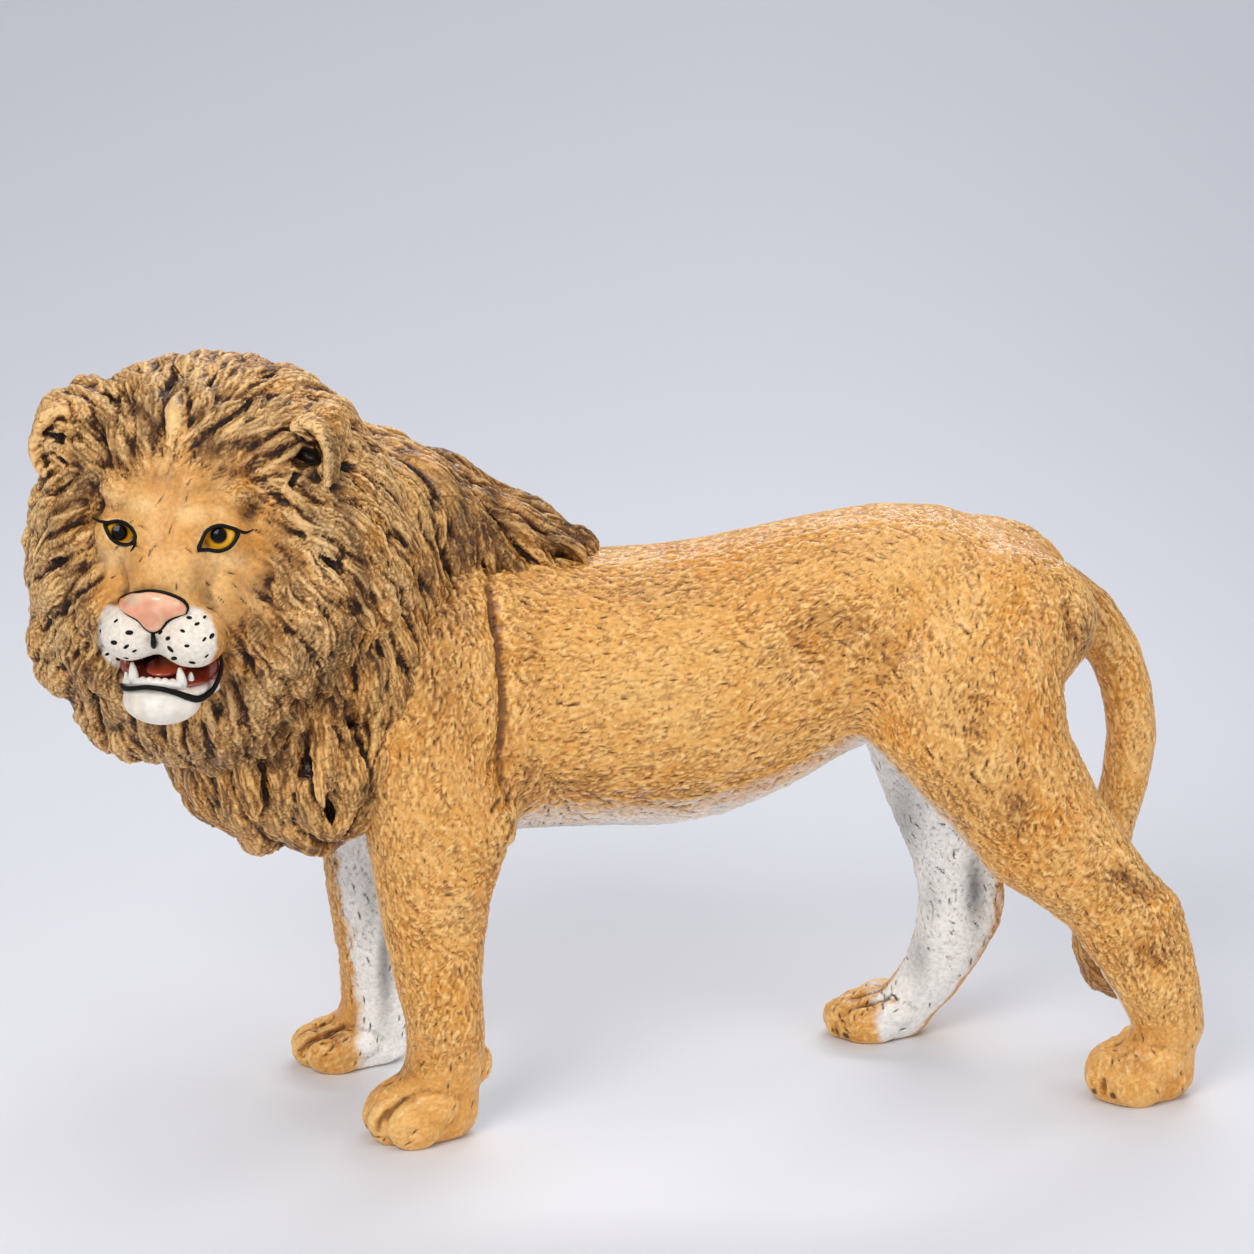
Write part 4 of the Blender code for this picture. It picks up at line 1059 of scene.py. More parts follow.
def model_body():
    """Trunk and legs with creases, toes, fur strokes and what their paint has to know."""
    clay = body_clay()
    tree = clay.tree()
    dark = carve_body(clay, tree)

    pixels = seen_at(clay.points)
    near = seen_at(clay.points * np.where(clay.points[:, 1:2] > 0.0, (1.0, -1.0, 1.0), 1.0))
    height = clay.points[:, 2]
    arc = FLANK_ARC_SHARE * line_share(near, FLANK_ARC, FLANK_ARC_WIDTH)
    brown = np.maximum(zone_share(near, BROWN_ZONES), arc) * (height > TRUNK_LOW)
    brown = np.maximum(brown, zone_share(pixels, LEG_ZONES) * (height < LEG_TOP))

    comb = Comb(tree, BODY_STROKES, MIDDLE_PLANE)
    flow = comb.flow(clay.points, clay.normals)
    fur = np.clip((height - FUR_LOW) / FUR_BLEND, FUR_LEAST_SHARE, 1.0)
    line, tone, pits = dabs_on(clay, flow, BODY_DABS, BODY_PIT_SHARES[0] + BODY_PIT_SHARES[1] * brown)
    bright = zone_share(near, PALE_ZONES) * (1.0 - brown)
    groove = strokes_on(clay, flow, *BODY_COMB)
    sole = np.clip(height / SOLE_BLEND, 0.0, 1.0)
    carving = (BODY_COMBING * groove + BODY_TONE * tone - BODY_LINE * line) * sole * fur
    clay.push(carving - BODY_PIT * pits * sole)

    white = white_on_body(clay)
    brown = np.clip(brown * (1.0 + UMBER_PATCH_SHARE * clay.patches(UMBER_PATCHES)), 0.0, 1.0)
    grey = zone_share(pixels, GREY_ZONES) * (white > GREY_LEAST_SHARE)
    lines = BODY_LINE_SHARE - CALM_SHARE * bright + UMBER_LINE_SHARE * brown
    clay.store(relief=relief_of(clay, NEAR_RELIEF) * (1.0 - CALM_SHARE * bright),
               broad=relief_of(clay, BODY_BROAD) * BODY_BROAD_SHARE, line=line * fur * lines,
               tone=tone * BODY_TONE_SHARE, pits=np.maximum(pits, dark),
               white=clay.blurred(white, WHITE_BLUR), grey=grey, umber=brown * UMBER_SHARE, pale=bright)

    # The soles are flat on the ground
    clay.points[:, 2] = np.maximum(clay.points[:, 2], 0.0)
    clay.update()
    return clay.obj


# Mane, ruff and head

# Masses of collar and apron: middle and half-axes
MANE_FORMS = (
    ((-32.7, -1.0, 63.9), (13.0, 17.2, 19.2)),
    ((-40.3, -1.4, 51.3), (11.2, 14.2, 14.0)),
    ((-34.7, -1.7, 47.8), (8.2, 15.6, 10.8)),
)

# The cape from the head to its tip behind the withers
CAPE_PATH = ((-39.0, -2.0, 76.6), (-30.0, -1.2, 75.2), (-21.0, -0.4, 72.5), (-13.0, 0.0, 69.9),
             (-7.0, 0.0, 68.4), (-2.4, 0.0, 67.8))
CAPE_RADII = (11.0, 10.8, 8.9, 6.2, 3.4, 1.4)
CAPE_FLAT_SHARE = 0.72
CAPE_STATIONS = 18
CAPE_RING = 24
CAPE_ENDS = (4.0, 1.0)
MANE_SMOOTHING = (14, 0.9)


def mane_base():
    """The mass of the mane under its locks: collar, apron and the cape behind the withers."""
    solids = [ball(np.array(middle), radii) for middle, radii in MANE_FORMS]
    cape = smooth_path(CAPE_PATH, CAPE_STATIONS)
    last = len(CAPE_RADII) - 1
    radii = np.interp(np.linspace(0, last, CAPE_STATIONS), range(last + 1), CAPE_RADII)
    along = unit(np.gradient(cape, axis=0))
    across = unit(np.cross(along, UP))
    above = np.cross(across, along)
    circle = np.linspace(0.0, 2.0 * np.pi, CAPE_RING, endpoint=False)
    rings = [cape[i] + radii[i] * (np.outer(np.cos(circle), across[i])
                                   + CAPE_FLAT_SHARE * np.outer(np.sin(circle), above[i]))
             for i in range(CAPE_STATIONS)]
    solids.append(skin_rings(rings, cape[0] - along[0] * CAPE_ENDS[0], cape[-1] + along[-1] * CAPE_ENDS[1]))
    base = made_object("mane_base", solids)
    voxels(base, BASE_GRAIN)
    clay = Clay(base)
    clay.relax(*MANE_SMOOTHING)
    return clay


# Zones of brown wash, and of pale paint with a painted highlight, on the mane, in pixels: middle, radii and
# strength
MANE_ZONES = (
    ((345, 500), (14, 50), 0.8), ((362, 560), (16, 40), 0.85), ((372, 620), (18, 50), 0.85),
    ((330, 690), (24, 30), 0.95), ((270, 762), (60, 14), 0.9), ((428, 590), (10, 40), 0.7),
    ((412, 680), (8, 60), 0.7), ((340, 848), (60, 12), 0.8), ((366, 800), (12, 40), 0.7),
    ((450, 505), (40, 26), 0.8), ((250, 800), (30, 20), 0.5), ((310, 740), (8, 40), 0.8),
    ((350, 760), (6, 50), 0.7), ((306, 815), (14, 18), 0.8), ((384, 470), (20, 20), 0.5),
)
MANE_PALE_AND_HIGHLIGHT_ZONES = (
    ((400, 480), (26, 20), 0.8), ((414, 512), (24, 44), 0.9), ((330, 800), (14, 30), 0.5),
    # The pale zone at (374, 440), along the upper edges of the locks at the mane's crest, is a painted
    # highlight
    ((390, 640), (8, 50), 0.6), ((285, 820), (20, 24), 0.6), ((374, 440), (30, 12), 0.5),
    ((378, 720), (8, 40), 0.5),
)


# The hair's combing, steps and waver on mane and head, and heights of strands and combing
MANE_COMB = (12, 0.3)
HEAD_COMB = (13, 0.3)
MANE_STRAND = 0.07
HEAD_STRAND = 0.06
HAIR_COMBING = 0.085

# What the hair's paint takes from the combing: line, a lock's own tone, and the combing's tone
COMB_LINE_SHARE = -0.5
LOCK_TONE_SHARE = 0.4
COMB_TONE_SHARE = 0.7
MANE_BROAD = 55
MANE_WASH_SHARE = 0.15
CAPE_WASH_SHARE = 0.6
MANE_PATCHES = 60
MANE_PATCH_SHARE = 0.25

# The cape behind this place and above this height has more wash
CAPE_WASH_X = -26.0
CAPE_WASH_BLEND = 8.0
CAPE_WASH_Z = 66.0


def model_mane():
    """Collar, apron and cape under two sizes of combed locks."""
    base = mane_base()
    comb = Comb(base.tree(), NECK_STROKES, MIDDLE_PLANE)
    everywhere = np.ones(base.count, bool)
    solids = [(base.points, [tuple(face.vertices) for face in base.obj.data.polygons])]
    locks = [lock for size in MANE_LOCKS for lock in hair_locks(base, comb, everywhere, *size)]
    skin = made_object("mane_skin", solids + [solid for solid, _ in locks])
    bpy.data.objects.remove(base.obj, do_unlink=True)
    voxels(skin, MANE_GRAIN)
    clay = Clay(skin)
    clay.relax(2)
    strand, tone, hair = strands_on(clay, locks)
    flow = comb.flow(clay.points, clay.normals)
    groove = strokes_on(clay, flow, *MANE_COMB)
    clay.push(MANE_STRAND * hair * np.cos(np.pi * strand) + HAIR_COMBING * groove)
    cape = np.clip((clay.points[:, 0] - CAPE_WASH_X) / CAPE_WASH_BLEND, 0.0, 1.0)
    cape = cape * (clay.points[:, 2] > CAPE_WASH_Z)
    pixels = seen_at(clay.points)
    brown = np.maximum(MANE_WASH_SHARE + CAPE_WASH_SHARE * cape, zone_share(pixels, MANE_ZONES))
    clay.store(relief=relief_of(clay, NEAR_RELIEF), broad=relief_of(clay, MANE_BROAD),
               line=np.clip(COMB_LINE_SHARE * groove, 0.0, 1.0),
               tone=LOCK_TONE_SHARE * tone + COMB_TONE_SHARE * groove, hair=hair, strand=strand,
               pale=zone_share(pixels, MANE_PALE_AND_HIGHLIGHT_ZONES),
               umber=np.clip(brown + MANE_PATCH_SHARE * clay.patches(MANE_PATCHES), 0.0, 1.0))
    return clay.obj


# Eyes, nose and mouth, drawn over the photograph in pixels
EYE_PIXELS = ((121.7, 532.8), (220.5, 535.6))
EYE_DEPTH = 14.6
LID_THICKNESS = 0.45
EYE_RIMS = (
    ((104.8, 524.5), (109.8, 522.3), (118.0, 521.3), (126.3, 524.0), (132.5, 529.8), (135.5, 537.3),
     (132.0, 543.0), (126.3, 544.8), (118.0, 543.2), (111.4, 538.4), (107.3, 531.5)),
    ((198.8, 549.5), (201.5, 541.5), (206.0, 532.3), (212.6, 527.3), (220.9, 525.5), (229.2, 527.3),
     (238.5, 531.2), (235.8, 540.0), (229.2, 547.6), (219.2, 551.2), (208.5, 549.8)),
)
EYE_RIM_RADIUS = 0.22
EYE_TAIL_RADII = (0.22, 0.17, 0.05)
EYE_TAILS = (
    ((108.0, 522.8), (99.0, 521.0), (91.5, 517.0)),
    ((135.3, 537.0), (134.6, 545.0), (130.5, 551.6)),
    ((236.5, 530.2), (246.0, 532.6), (253.6, 529.4)),
    ((202.0, 541.0), (198.8, 547.5), (198.2, 552.5)),
)
NOSE_PIXELS = ((120.5, 598.5), (128.0, 594.8), (138.0, 592.6), (150.4, 591.4), (162.0, 592.6), (174.0, 596.2),
               (184.4, 601.6), (188.3, 608.0), (186.5, 613.5), (176.0, 616.8), (167.5, 621.0), (160.5, 629.5),
               (153.0, 632.2), (146.0, 628.6), (138.2, 620.0), (128.0, 614.5), (121.0, 609.0), (118.8, 603.5))
NOSE_HEIGHT = 1.0
NOSE_DEPTH = 0.5
NOSE_LEAN = 0.3
NOSE_LOWER_RADII = (0.10, 0.22, 0.16, 0.2, 0.1)
NOSE_UPPER_RADII = (0.08, 0.2, 0.26, 0.24, 0.1)
NOSE_LOWER_RISE = 0.1
NOSE_UPPER_RISE = 0.35
LINE_RISE = 0.05

# Rings of the nose pad from its buried edge to its crown: size and lift
PAD_SHARES = ((0.9, -0.5), (1.0, 0.0), (1.0, 0.3), (0.95, 0.62), (0.85, 0.85), (0.6, 0.97), (0.3, 1.0))
PHILTRUM = ((152.9, 633.5), (153.8, 645.0), (154.8, 655.5))
PHILTRUM_RADII = (0.22, 0.36, 0.34)
MUZZLE_EDGE = ((107, 606), (101, 613), (98, 628), (98, 645), (104, 659), (116, 668), (132, 666), (148, 658),
               (156, 656), (166, 658), (180, 667), (198, 673), (210, 664), (217, 649), (217, 634), (212, 618),
               (204, 608), (190, 606), (166, 612), (150, 620), (138, 612), (120, 606))
WHISKER_PIXELS = (
    (115.6, 621.0), (129.3, 632.6), (113.9, 642.6), (126.3, 646.7), (134.6, 650.9), (107.3, 654.2),
    (118.9, 659.2), (126.0, 658.0), (160.3, 632.6), (167.8, 638.4), (182.7, 631.0), (196.8, 624.0),
    (204.3, 617.4), (170.3, 649.2), (186.9, 645.9), (204.3, 639.3), (211.7, 636.0), (174.4, 658.3),
    (191.8, 662.5), (206.8, 655.8), (189.4, 617.7), (100.5, 631.0),
)
WHISKER_SPOT = (0.42, 0.12, 0.25)
WHISKER_LEAN = 0.6
WHISKER_SHARES = (0.7, 1.2)

# The lower lip: its line in pixels, and its depth towards the face and radius at each
LIP_LINE = ((121.5, 685.0), (125.0, 688.6), (135.0, 688.3), (146.2, 687.3), (161.0, 689.0), (176.0, 692.8),
            (188.0, 697.0), (198.0, 699.0), (207.0, 695.0), (214.6, 687.0), (219.5, 675.0), (221.6, 662.5),
            (218.4, 650.5))
LIP_DEPTHS = (17.6, 19.4, 20.3, 20.8, 20.9, 20.4, 19.4, 18.3, 17.3, 16.4, 15.8, 15.6, 15.9)
LIP_RADII = (0.22, 0.3, 0.28, 0.28, 0.29, 0.33, 0.4, 0.42, 0.36, 0.3, 0.25, 0.22, 0.14)
LIP_STATIONS = 48

# Forms of the head: place to the side, up and to the face, then half-sizes in the same order
RUFF_FORMS = (
    (-12.6, 12.0, 0.5, 7.0, 7.2, 7.0), (-13.6, -9.0, 1.0, 7.0, 9.0, 8.0), (-8.0, -16.6, 0.0, 8.0, 7.4, 8.0),
)
FACE_FORMS = (
    (0.0, 8.0, 5.4, 11.4, 13.6, 11.4), (-0.5, -3.4, 14.6, 6.6, 4.4, 6.2),
    (-3.9, -3.6, 18.6, 3.75, 3.4, 4.4), (2.9, -3.9, 18.6, 3.95, 3.5, 4.4),
    (-0.1, 0.4, 18.5, 4.2, 2.7, 3.6),
)

# Temples, cheeks, brows, sockets and jaws, which stand on both sides
PAIRED_FORMS = (
    (8.0, 2.2, 9.4, 4.6, 6.4, 5.8), (6.2, -2.6, 12.2, 5.0, 5.6, 5.2), (4.8, 11.2, 13.2, 4.3, 2.3, 3.7),
    (5.4, 1.0, 12.6, 3.6, 5.0, 5.0), (9.6, -7.6, 8.6, 5.0, 6.4, 6.0),
)
BRIDGE = ((1.7, 14.0, 12.2), (1.6, 10.4, 14.1), (1.5, 6.6, 16.3), (1.3, 3.6, 18.1), (1.0, 1.6, 19.2))
BRIDGE_RADII = (3.6, 3.7, 3.7, 3.6, 2.8)
MOUTH = (-0.6, -8.4, 16.6, 5.9, 2.7, 7.6)
CHIN_FORMS = (
    (-1.25, -11.9, 17.2, 4.5, 2.75, 3.9), (-1.0, -10.6, 16.0, 5.1, 1.3, 4.6),
    (-0.6, -10.8, 12.5, 5.6, 1.9, 6.0),
)
GUM_FORMS = (
    (-0.9, -9.6, 15.0, 5.2, 0.9, 5.3), (4.1, -8.5, 13.4, 1.5, 2.0, 2.4), (-5.7, -8.5, 14.4, 1.1, 1.6, 2.2),
)
TONGUE_FORM = (-0.9, -8.3, 15.6, 2.3, 0.75, 4.2)

# Teeth: pixel and depth along the row of the lower jaw, and root, tip, depth and radius of the canines
TOOTH_ROW = (((126, 681), 18.2), ((136, 682), 19.4), ((150, 682.5), 20.0), ((165, 683.5), 20.0),
             ((180, 685), 19.2), ((190, 685), 17.8))
TOOTH_ROW_RADIUS = 0.5
INCISORS = 6
INCISOR_RADII = (0.5, 0.42, 0.5)
INCISOR_RISE = 0.15
CANINES = (
    ((134.5, 682), (132.0, 662.5), 19.2, 0.62), ((182, 685), (179.5, 668.0), 19.0, 0.62),
    ((190.5, 684), (191.0, 672.5), 17.8, 0.45), ((127.5, 681), (126.0, 672), 18.2, 0.4),
)
CANINE_LEAN = 0.2
CANINE_PLACE_SHARES = (0.0, 0.35, 0.7, 1.0)
CANINE_TAPER_SHARES = (1.0, 0.95, 0.7, 0.3)


def on_face(pixel, depth):
    """The place under a pixel at a given depth towards the face."""
    way = sight(pixel)
    return EYE + way * ((HEAD_CENTRE + FACE * depth - EYE) @ FACE) / (way @ FACE)


def face_solids():
    """Skull, brows, cheeks, bridge and muzzle."""
    solids = [head_ball(*form) for form in FACE_FORMS]
    for hand in (-1.0, 1.0):
        solids += [head_ball(hand * side, *rest) for side, *rest in PAIRED_FORMS]
    for hand in (-1.0, 1.0):
        bridge = [in_head(hand * side, up, face) for side, up, face in BRIDGE]
        solids.append(tube(bridge, BRIDGE_RADII))
    for pixel in EYE_PIXELS:
        lid = EYEBALL_RADIUS + LID_THICKNESS
        solids.append(ball(on_face(pixel, EYE_DEPTH), (lid, lid, lid)))
    return solids


# Ears: the rim of each in pixels with its depth towards the face, and the hollows in them
EAR_RIMS = (
    (((72, 415), (60, 411), (48, 415), (39, 427), (35, 443), (36, 460), (43, 474)), 6.8),
    (((291, 430), (300, 424), (312, 426), (322, 436), (328, 452), (329, 470), (325, 489)), 10.0),
)
EAR_HOLLOWS = (((58, 432), (56, 446)), ((60, 456), (58, 462)), ((307, 441), (311, 452), (309, 464)),
               ((292, 474), (300, 480)))


EAR_STATIONS = 20
EAR_RIM_SHARES = (0.0, 0.35, 0.8, 1.0)
EAR_RIM_RADII = (0.5, 0.8, 0.75, 0.5)

# The cup inside the rim: smaller rims set back, and the mass behind them
EAR_CUP_SHARES = (0.85, 0.6, 0.3)
EAR_CUP_RADIUS = 1.3
EAR_CUP_BACK = 2.2
EAR_CUP_RISE = 1.1
EAR_BACK = 4.6
EAR_BACK_RADII = (2.6, 4.2, 4.0)
EAR_HOLLOW = (1.2, 0.7)


def ear_solids():
    """The ears: a rounded cup in the ruff and the rim that stands out of it."""
    solids = []
    for pixels, depth in EAR_RIMS:
        rim = smooth_path([on_face(pixel, depth) for pixel in pixels], EAR_STATIONS)
        middle = rim.mean(0)
        solids.append(tube(rim, np.interp(np.linspace(0, 1, EAR_STATIONS), EAR_RIM_SHARES, EAR_RIM_RADII)))
        for share in EAR_CUP_SHARES:
            path = middle + (rim - middle) * share - FACE * (EAR_CUP_BACK - EAR_CUP_RISE * share)
            solids.append(tube(path, np.full(EAR_STATIONS, EAR_CUP_RADIUS)))
        solids.append(ball(middle - FACE * EAR_BACK, EAR_BACK_RADII, HEAD_AXES))
    return solids


# The ruff draws in under the cheek: from here to the side and down, over this length
UNDER_CHEEK = (5.0, -4.0)
UNDER_CHEEK_BLEND = 10.0
UNDER_CHEEK_SHARES = (0.2, 0.1)


def head_base():
    """The mass of the head under its hair: ruff, face and eye sockets."""
    side, up, face = RUFF_RADII
    solids = [ball(in_head(*RUFF_MIDDLE), (side, face, up), HEAD_AXES)]
    solids += [head_ball(*form) for form in RUFF_FORMS]
    solids += face_solids()
    base = made_object("head_base", solids)
    voxels(base, BASE_GRAIN)
    clay = Clay(base)
    clay.relax(*HEAD_SMOOTHING)
    local = to_head(clay.points)
    draw = (np.clip((local[:, 0] - UNDER_CHEEK[0]) / UNDER_CHEEK_BLEND, 0.0, 1.0)
            * np.clip((-local[:, 1] + UNDER_CHEEK[1]) / UNDER_CHEEK_BLEND, 0.0, 1.0))
    clay.points -= draw[:, None] * (SIDE * UNDER_CHEEK_SHARES[0] * local[:, :1]
                                    + UP * UNDER_CHEEK_SHARES[1] * local[:, 1:2])
    clay.update()
    return clay


# Zones of brown wash, and of pale paint with some painted highlights, on the head, in pixels: middle, radii
# and strength
HEAD_ZONES = (
    ((141, 411), (16, 16), 1.0), ((152, 430), (15, 20), 1.0), ((197, 416), (14, 24), 1.0),
    ((212, 444), (24, 20), 0.95), ((118, 452), (18, 16), 0.6), ((240, 470), (30, 14), 0.6),
    ((80, 490), (16, 40), 0.85), ((72, 590), (18, 60), 0.7), ((84, 680), (18, 34), 0.7),
    ((284, 560), (26, 46), 0.75), ((262, 590), (22, 30), 0.6), ((255, 640), (36, 40), 0.8),
    ((300, 640), (26, 60), 0.55), ((232, 690), (24, 40), 0.85), ((200, 745), (60, 24), 0.6),
    ((112, 720), (26, 22), 0.7), ((309, 453), (8, 16), 0.85), ((297, 477), (9, 7), 0.8),
    ((57, 440), (6, 12), 0.6), ((59, 460), (5, 7), 0.6), ((334, 560), (12, 60), 0.5),
    ((262, 446), (18, 14), 0.4), ((311, 510), (7, 9), 0.95), ((197, 574), (7, 22), 0.5),
    ((132, 562), (5, 20), 0.3), ((152, 590), (34, 5), 0.35), ((204, 553), (7, 9), 0.4),
    ((150, 478), (30, 8), 0.4), ((205, 488), (34, 8), 0.35), ((252, 500), (16, 20), 0.55),
    ((100, 500), (8, 16), 0.5), ((244, 590), (12, 30), 0.5),
)
HEAD_PALE_AND_HIGHLIGHT_ZONES = (
    ((141, 506), (16, 9), 0.9), ((117, 503), (7, 8), 0.6), ((190, 514), (18, 9), 0.9),
    ((219, 513), (8, 8), 0.6), ((113, 557), (15, 9), 0.95), ((228, 560), (22, 9), 0.9),
    ((154, 564), (16, 12), 0.35), ((173, 425), (5, 32), 1.0), ((46, 440), (14, 34), 0.8),
    # The pale zones at (322, 456) and (302, 432), along the rim of the ear on the right of the view, are a
    # painted highlight
    ((322, 456), (9, 34), 0.9), ((302, 432), (18, 8), 0.8), ((324, 552), (14, 34), 0.9),
    ((306, 530), (12, 18), 0.7), ((200, 372), (60, 16), 0.5), ((100, 390), (26, 14), 0.6),
    ((34, 560), (12, 80), 0.6), ((50, 660), (14, 50), 0.5), ((320, 640), (24, 30), 0.5),
    ((250, 420), (30, 12), 0.5), ((216, 600), (14, 20), 0.4), ((120, 690), (10, 30), 0.4),
    ((262, 700), (14, 24), 0.4), ((160, 760), (50, 8), 0.4),
)

# The raised tuft on the forehead, and the crease where the ruff ends
FOREHEAD_TUFT = ((173, 398), (174, 420), (172, 440), (168, 458))
TUFT_RIDGE = (1.0, -0.8)
RUFF_CREASE = ((330, 440), (338, 490), (356, 545), (362, 600), (346, 640), (328, 680), (298, 712), (262, 745),
               (210, 765))
RUFF_CREASE_WIDTH = 12.0

# The face: its middle, half-width above and how much less below, half-height, and where it starts
FACE_MIDDLE = (0.6, 1.0)
FACE_HALF_WIDTH = 11.5
FACE_NARROWING = 4.3
FACE_NARROWS_AT = 5.0
FACE_NARROWS_OVER = 9.0
FACE_HALF_HEIGHT = 14.5
FACE_START = 5.0
BARE_FACE_TOP = 18.5
EYE_FRONT = 12.0
EYE_SINK = 2.2
RUFF_BACK = -9.0

OUT_OF_FACE_SHARE = 3.0

# Rounds of smoothing of the head's base and of the bare face, and how much each gives back
HEAD_SMOOTHING = (9, 0.7)
FACE_SMOOTHING = (30, 0.3)
EAR_HOLLOW_STATIONS = 6
TUFT_STATIONS = 10

# How fast smoothness, fur, strands and wash set in on the way out of the face
SMOOTH_RISE = 4.0
FUR_RISE = 2.0
STRAND_RISE = 4.0
WASH_RISE = 2.2

# Sunk eyes: how their rims blend; what counts as facing the camera; and where the face's paint gives out
EYE_RIM_BLEND = 3.0
EYE_RIM_SHARE = 0.3
FACING_LEAST_SHARE = -0.2
AHEAD_BLEND = 3.0
AHEAD_SHARE = 0.2

# Shares of the way out of the face: where the coarse and the fine locks, fur, strands and wash begin,
# where the smooth face ends, and the ring of wash round it
LOCK_START_SHARES = (1.45, 1.24)
FUR_START_SHARE = 0.62
STRAND_START_SHARE = 1.15
WASH_START_SHARE = 0.55
CREASE_START_SHARE = 1.5
SMOOTH_END_SHARE = 0.95
RING_SHARE = 1.38
RING_WIDTH_SHARE = 0.22
RING_WASH_SHARE = 0.6

# Head: least fur, pits, depth of line and pit, combing of the face, white edge of the muzzle, wash behind
FACE_FUR_SHARE = 0.4
FACE_PIT_SHARE = 0.035
FACE_CARVING = 0.16
FACE_COMB_SHARE = 0.4
MUZZLE_EDGE_SHARE = 0.4
MUZZLE_BLEND = 8.0
MUZZLE_SMOOTH_SHARE = 0.9
BACK_WASH_SHARE = 0.25
HEAD_BROAD = 50
HEAD_PATCHES = 50
HEAD_PATCH_SHARE = 0.14
MUZZLE_PATCHES = 12
MUZZLE_PATCH_SHARE = 0.05


def face_share(points):
    """0 in the middle of the face, 1 at its edge, more out in the ruff."""
    local = to_head(points)
    width = FACE_HALF_WIDTH - FACE_NARROWING * np.clip((FACE_NARROWS_AT - local[:, 1]) / FACE_NARROWS_OVER,
                                                       0.0, 1.0)
    share = np.sqrt(((local[:, 0] - FACE_MIDDLE[0]) / width) ** 2
                    + ((local[:, 1] - FACE_MIDDLE[1]) / FACE_HALF_HEIGHT) ** 2)
    return np.where(local[:, 2] > FACE_START, share, OUT_OF_FACE_SHARE)


def head_clay(comb, base):
    """The head's skin with its locks, ears and open mouth, smoothed on the face; and the locks."""
    local = to_head(base.points)
    share = face_share(base.points)
    locks = []
    for start, size in zip(LOCK_START_SHARES, RUFF_LOCKS):
        locks += hair_locks(base, comb, (share > start) & (local[:, 2] > RUFF_BACK), *size)
    solids = [(base.points, [tuple(face.vertices) for face in base.obj.data.polygons])]
    skin = made_object("head_skin", solids + [solid for solid, _ in locks] + ear_solids())
    bpy.data.objects.remove(base.obj, do_unlink=True)
    voxels(skin, HEAD_GRAIN)
    hollow(skin, head_ball(*MOUTH))
    voxels(skin, HEAD_GRAIN)
    clay = Clay(skin)
    clay.relax(2)
    local = to_head(clay.points)
    bare = np.clip((SMOOTH_END_SHARE - face_share(clay.points)) * SMOOTH_RISE, 0.0, 1.0)
    bare = bare * np.clip((BARE_FACE_TOP - local[:, 2]) / 2.0, 0.0, 1.0) * (local[:, 1] > 1.0)
    clay.relax(*FACE_SMOOTHING, where=bare)
    return clay, locks


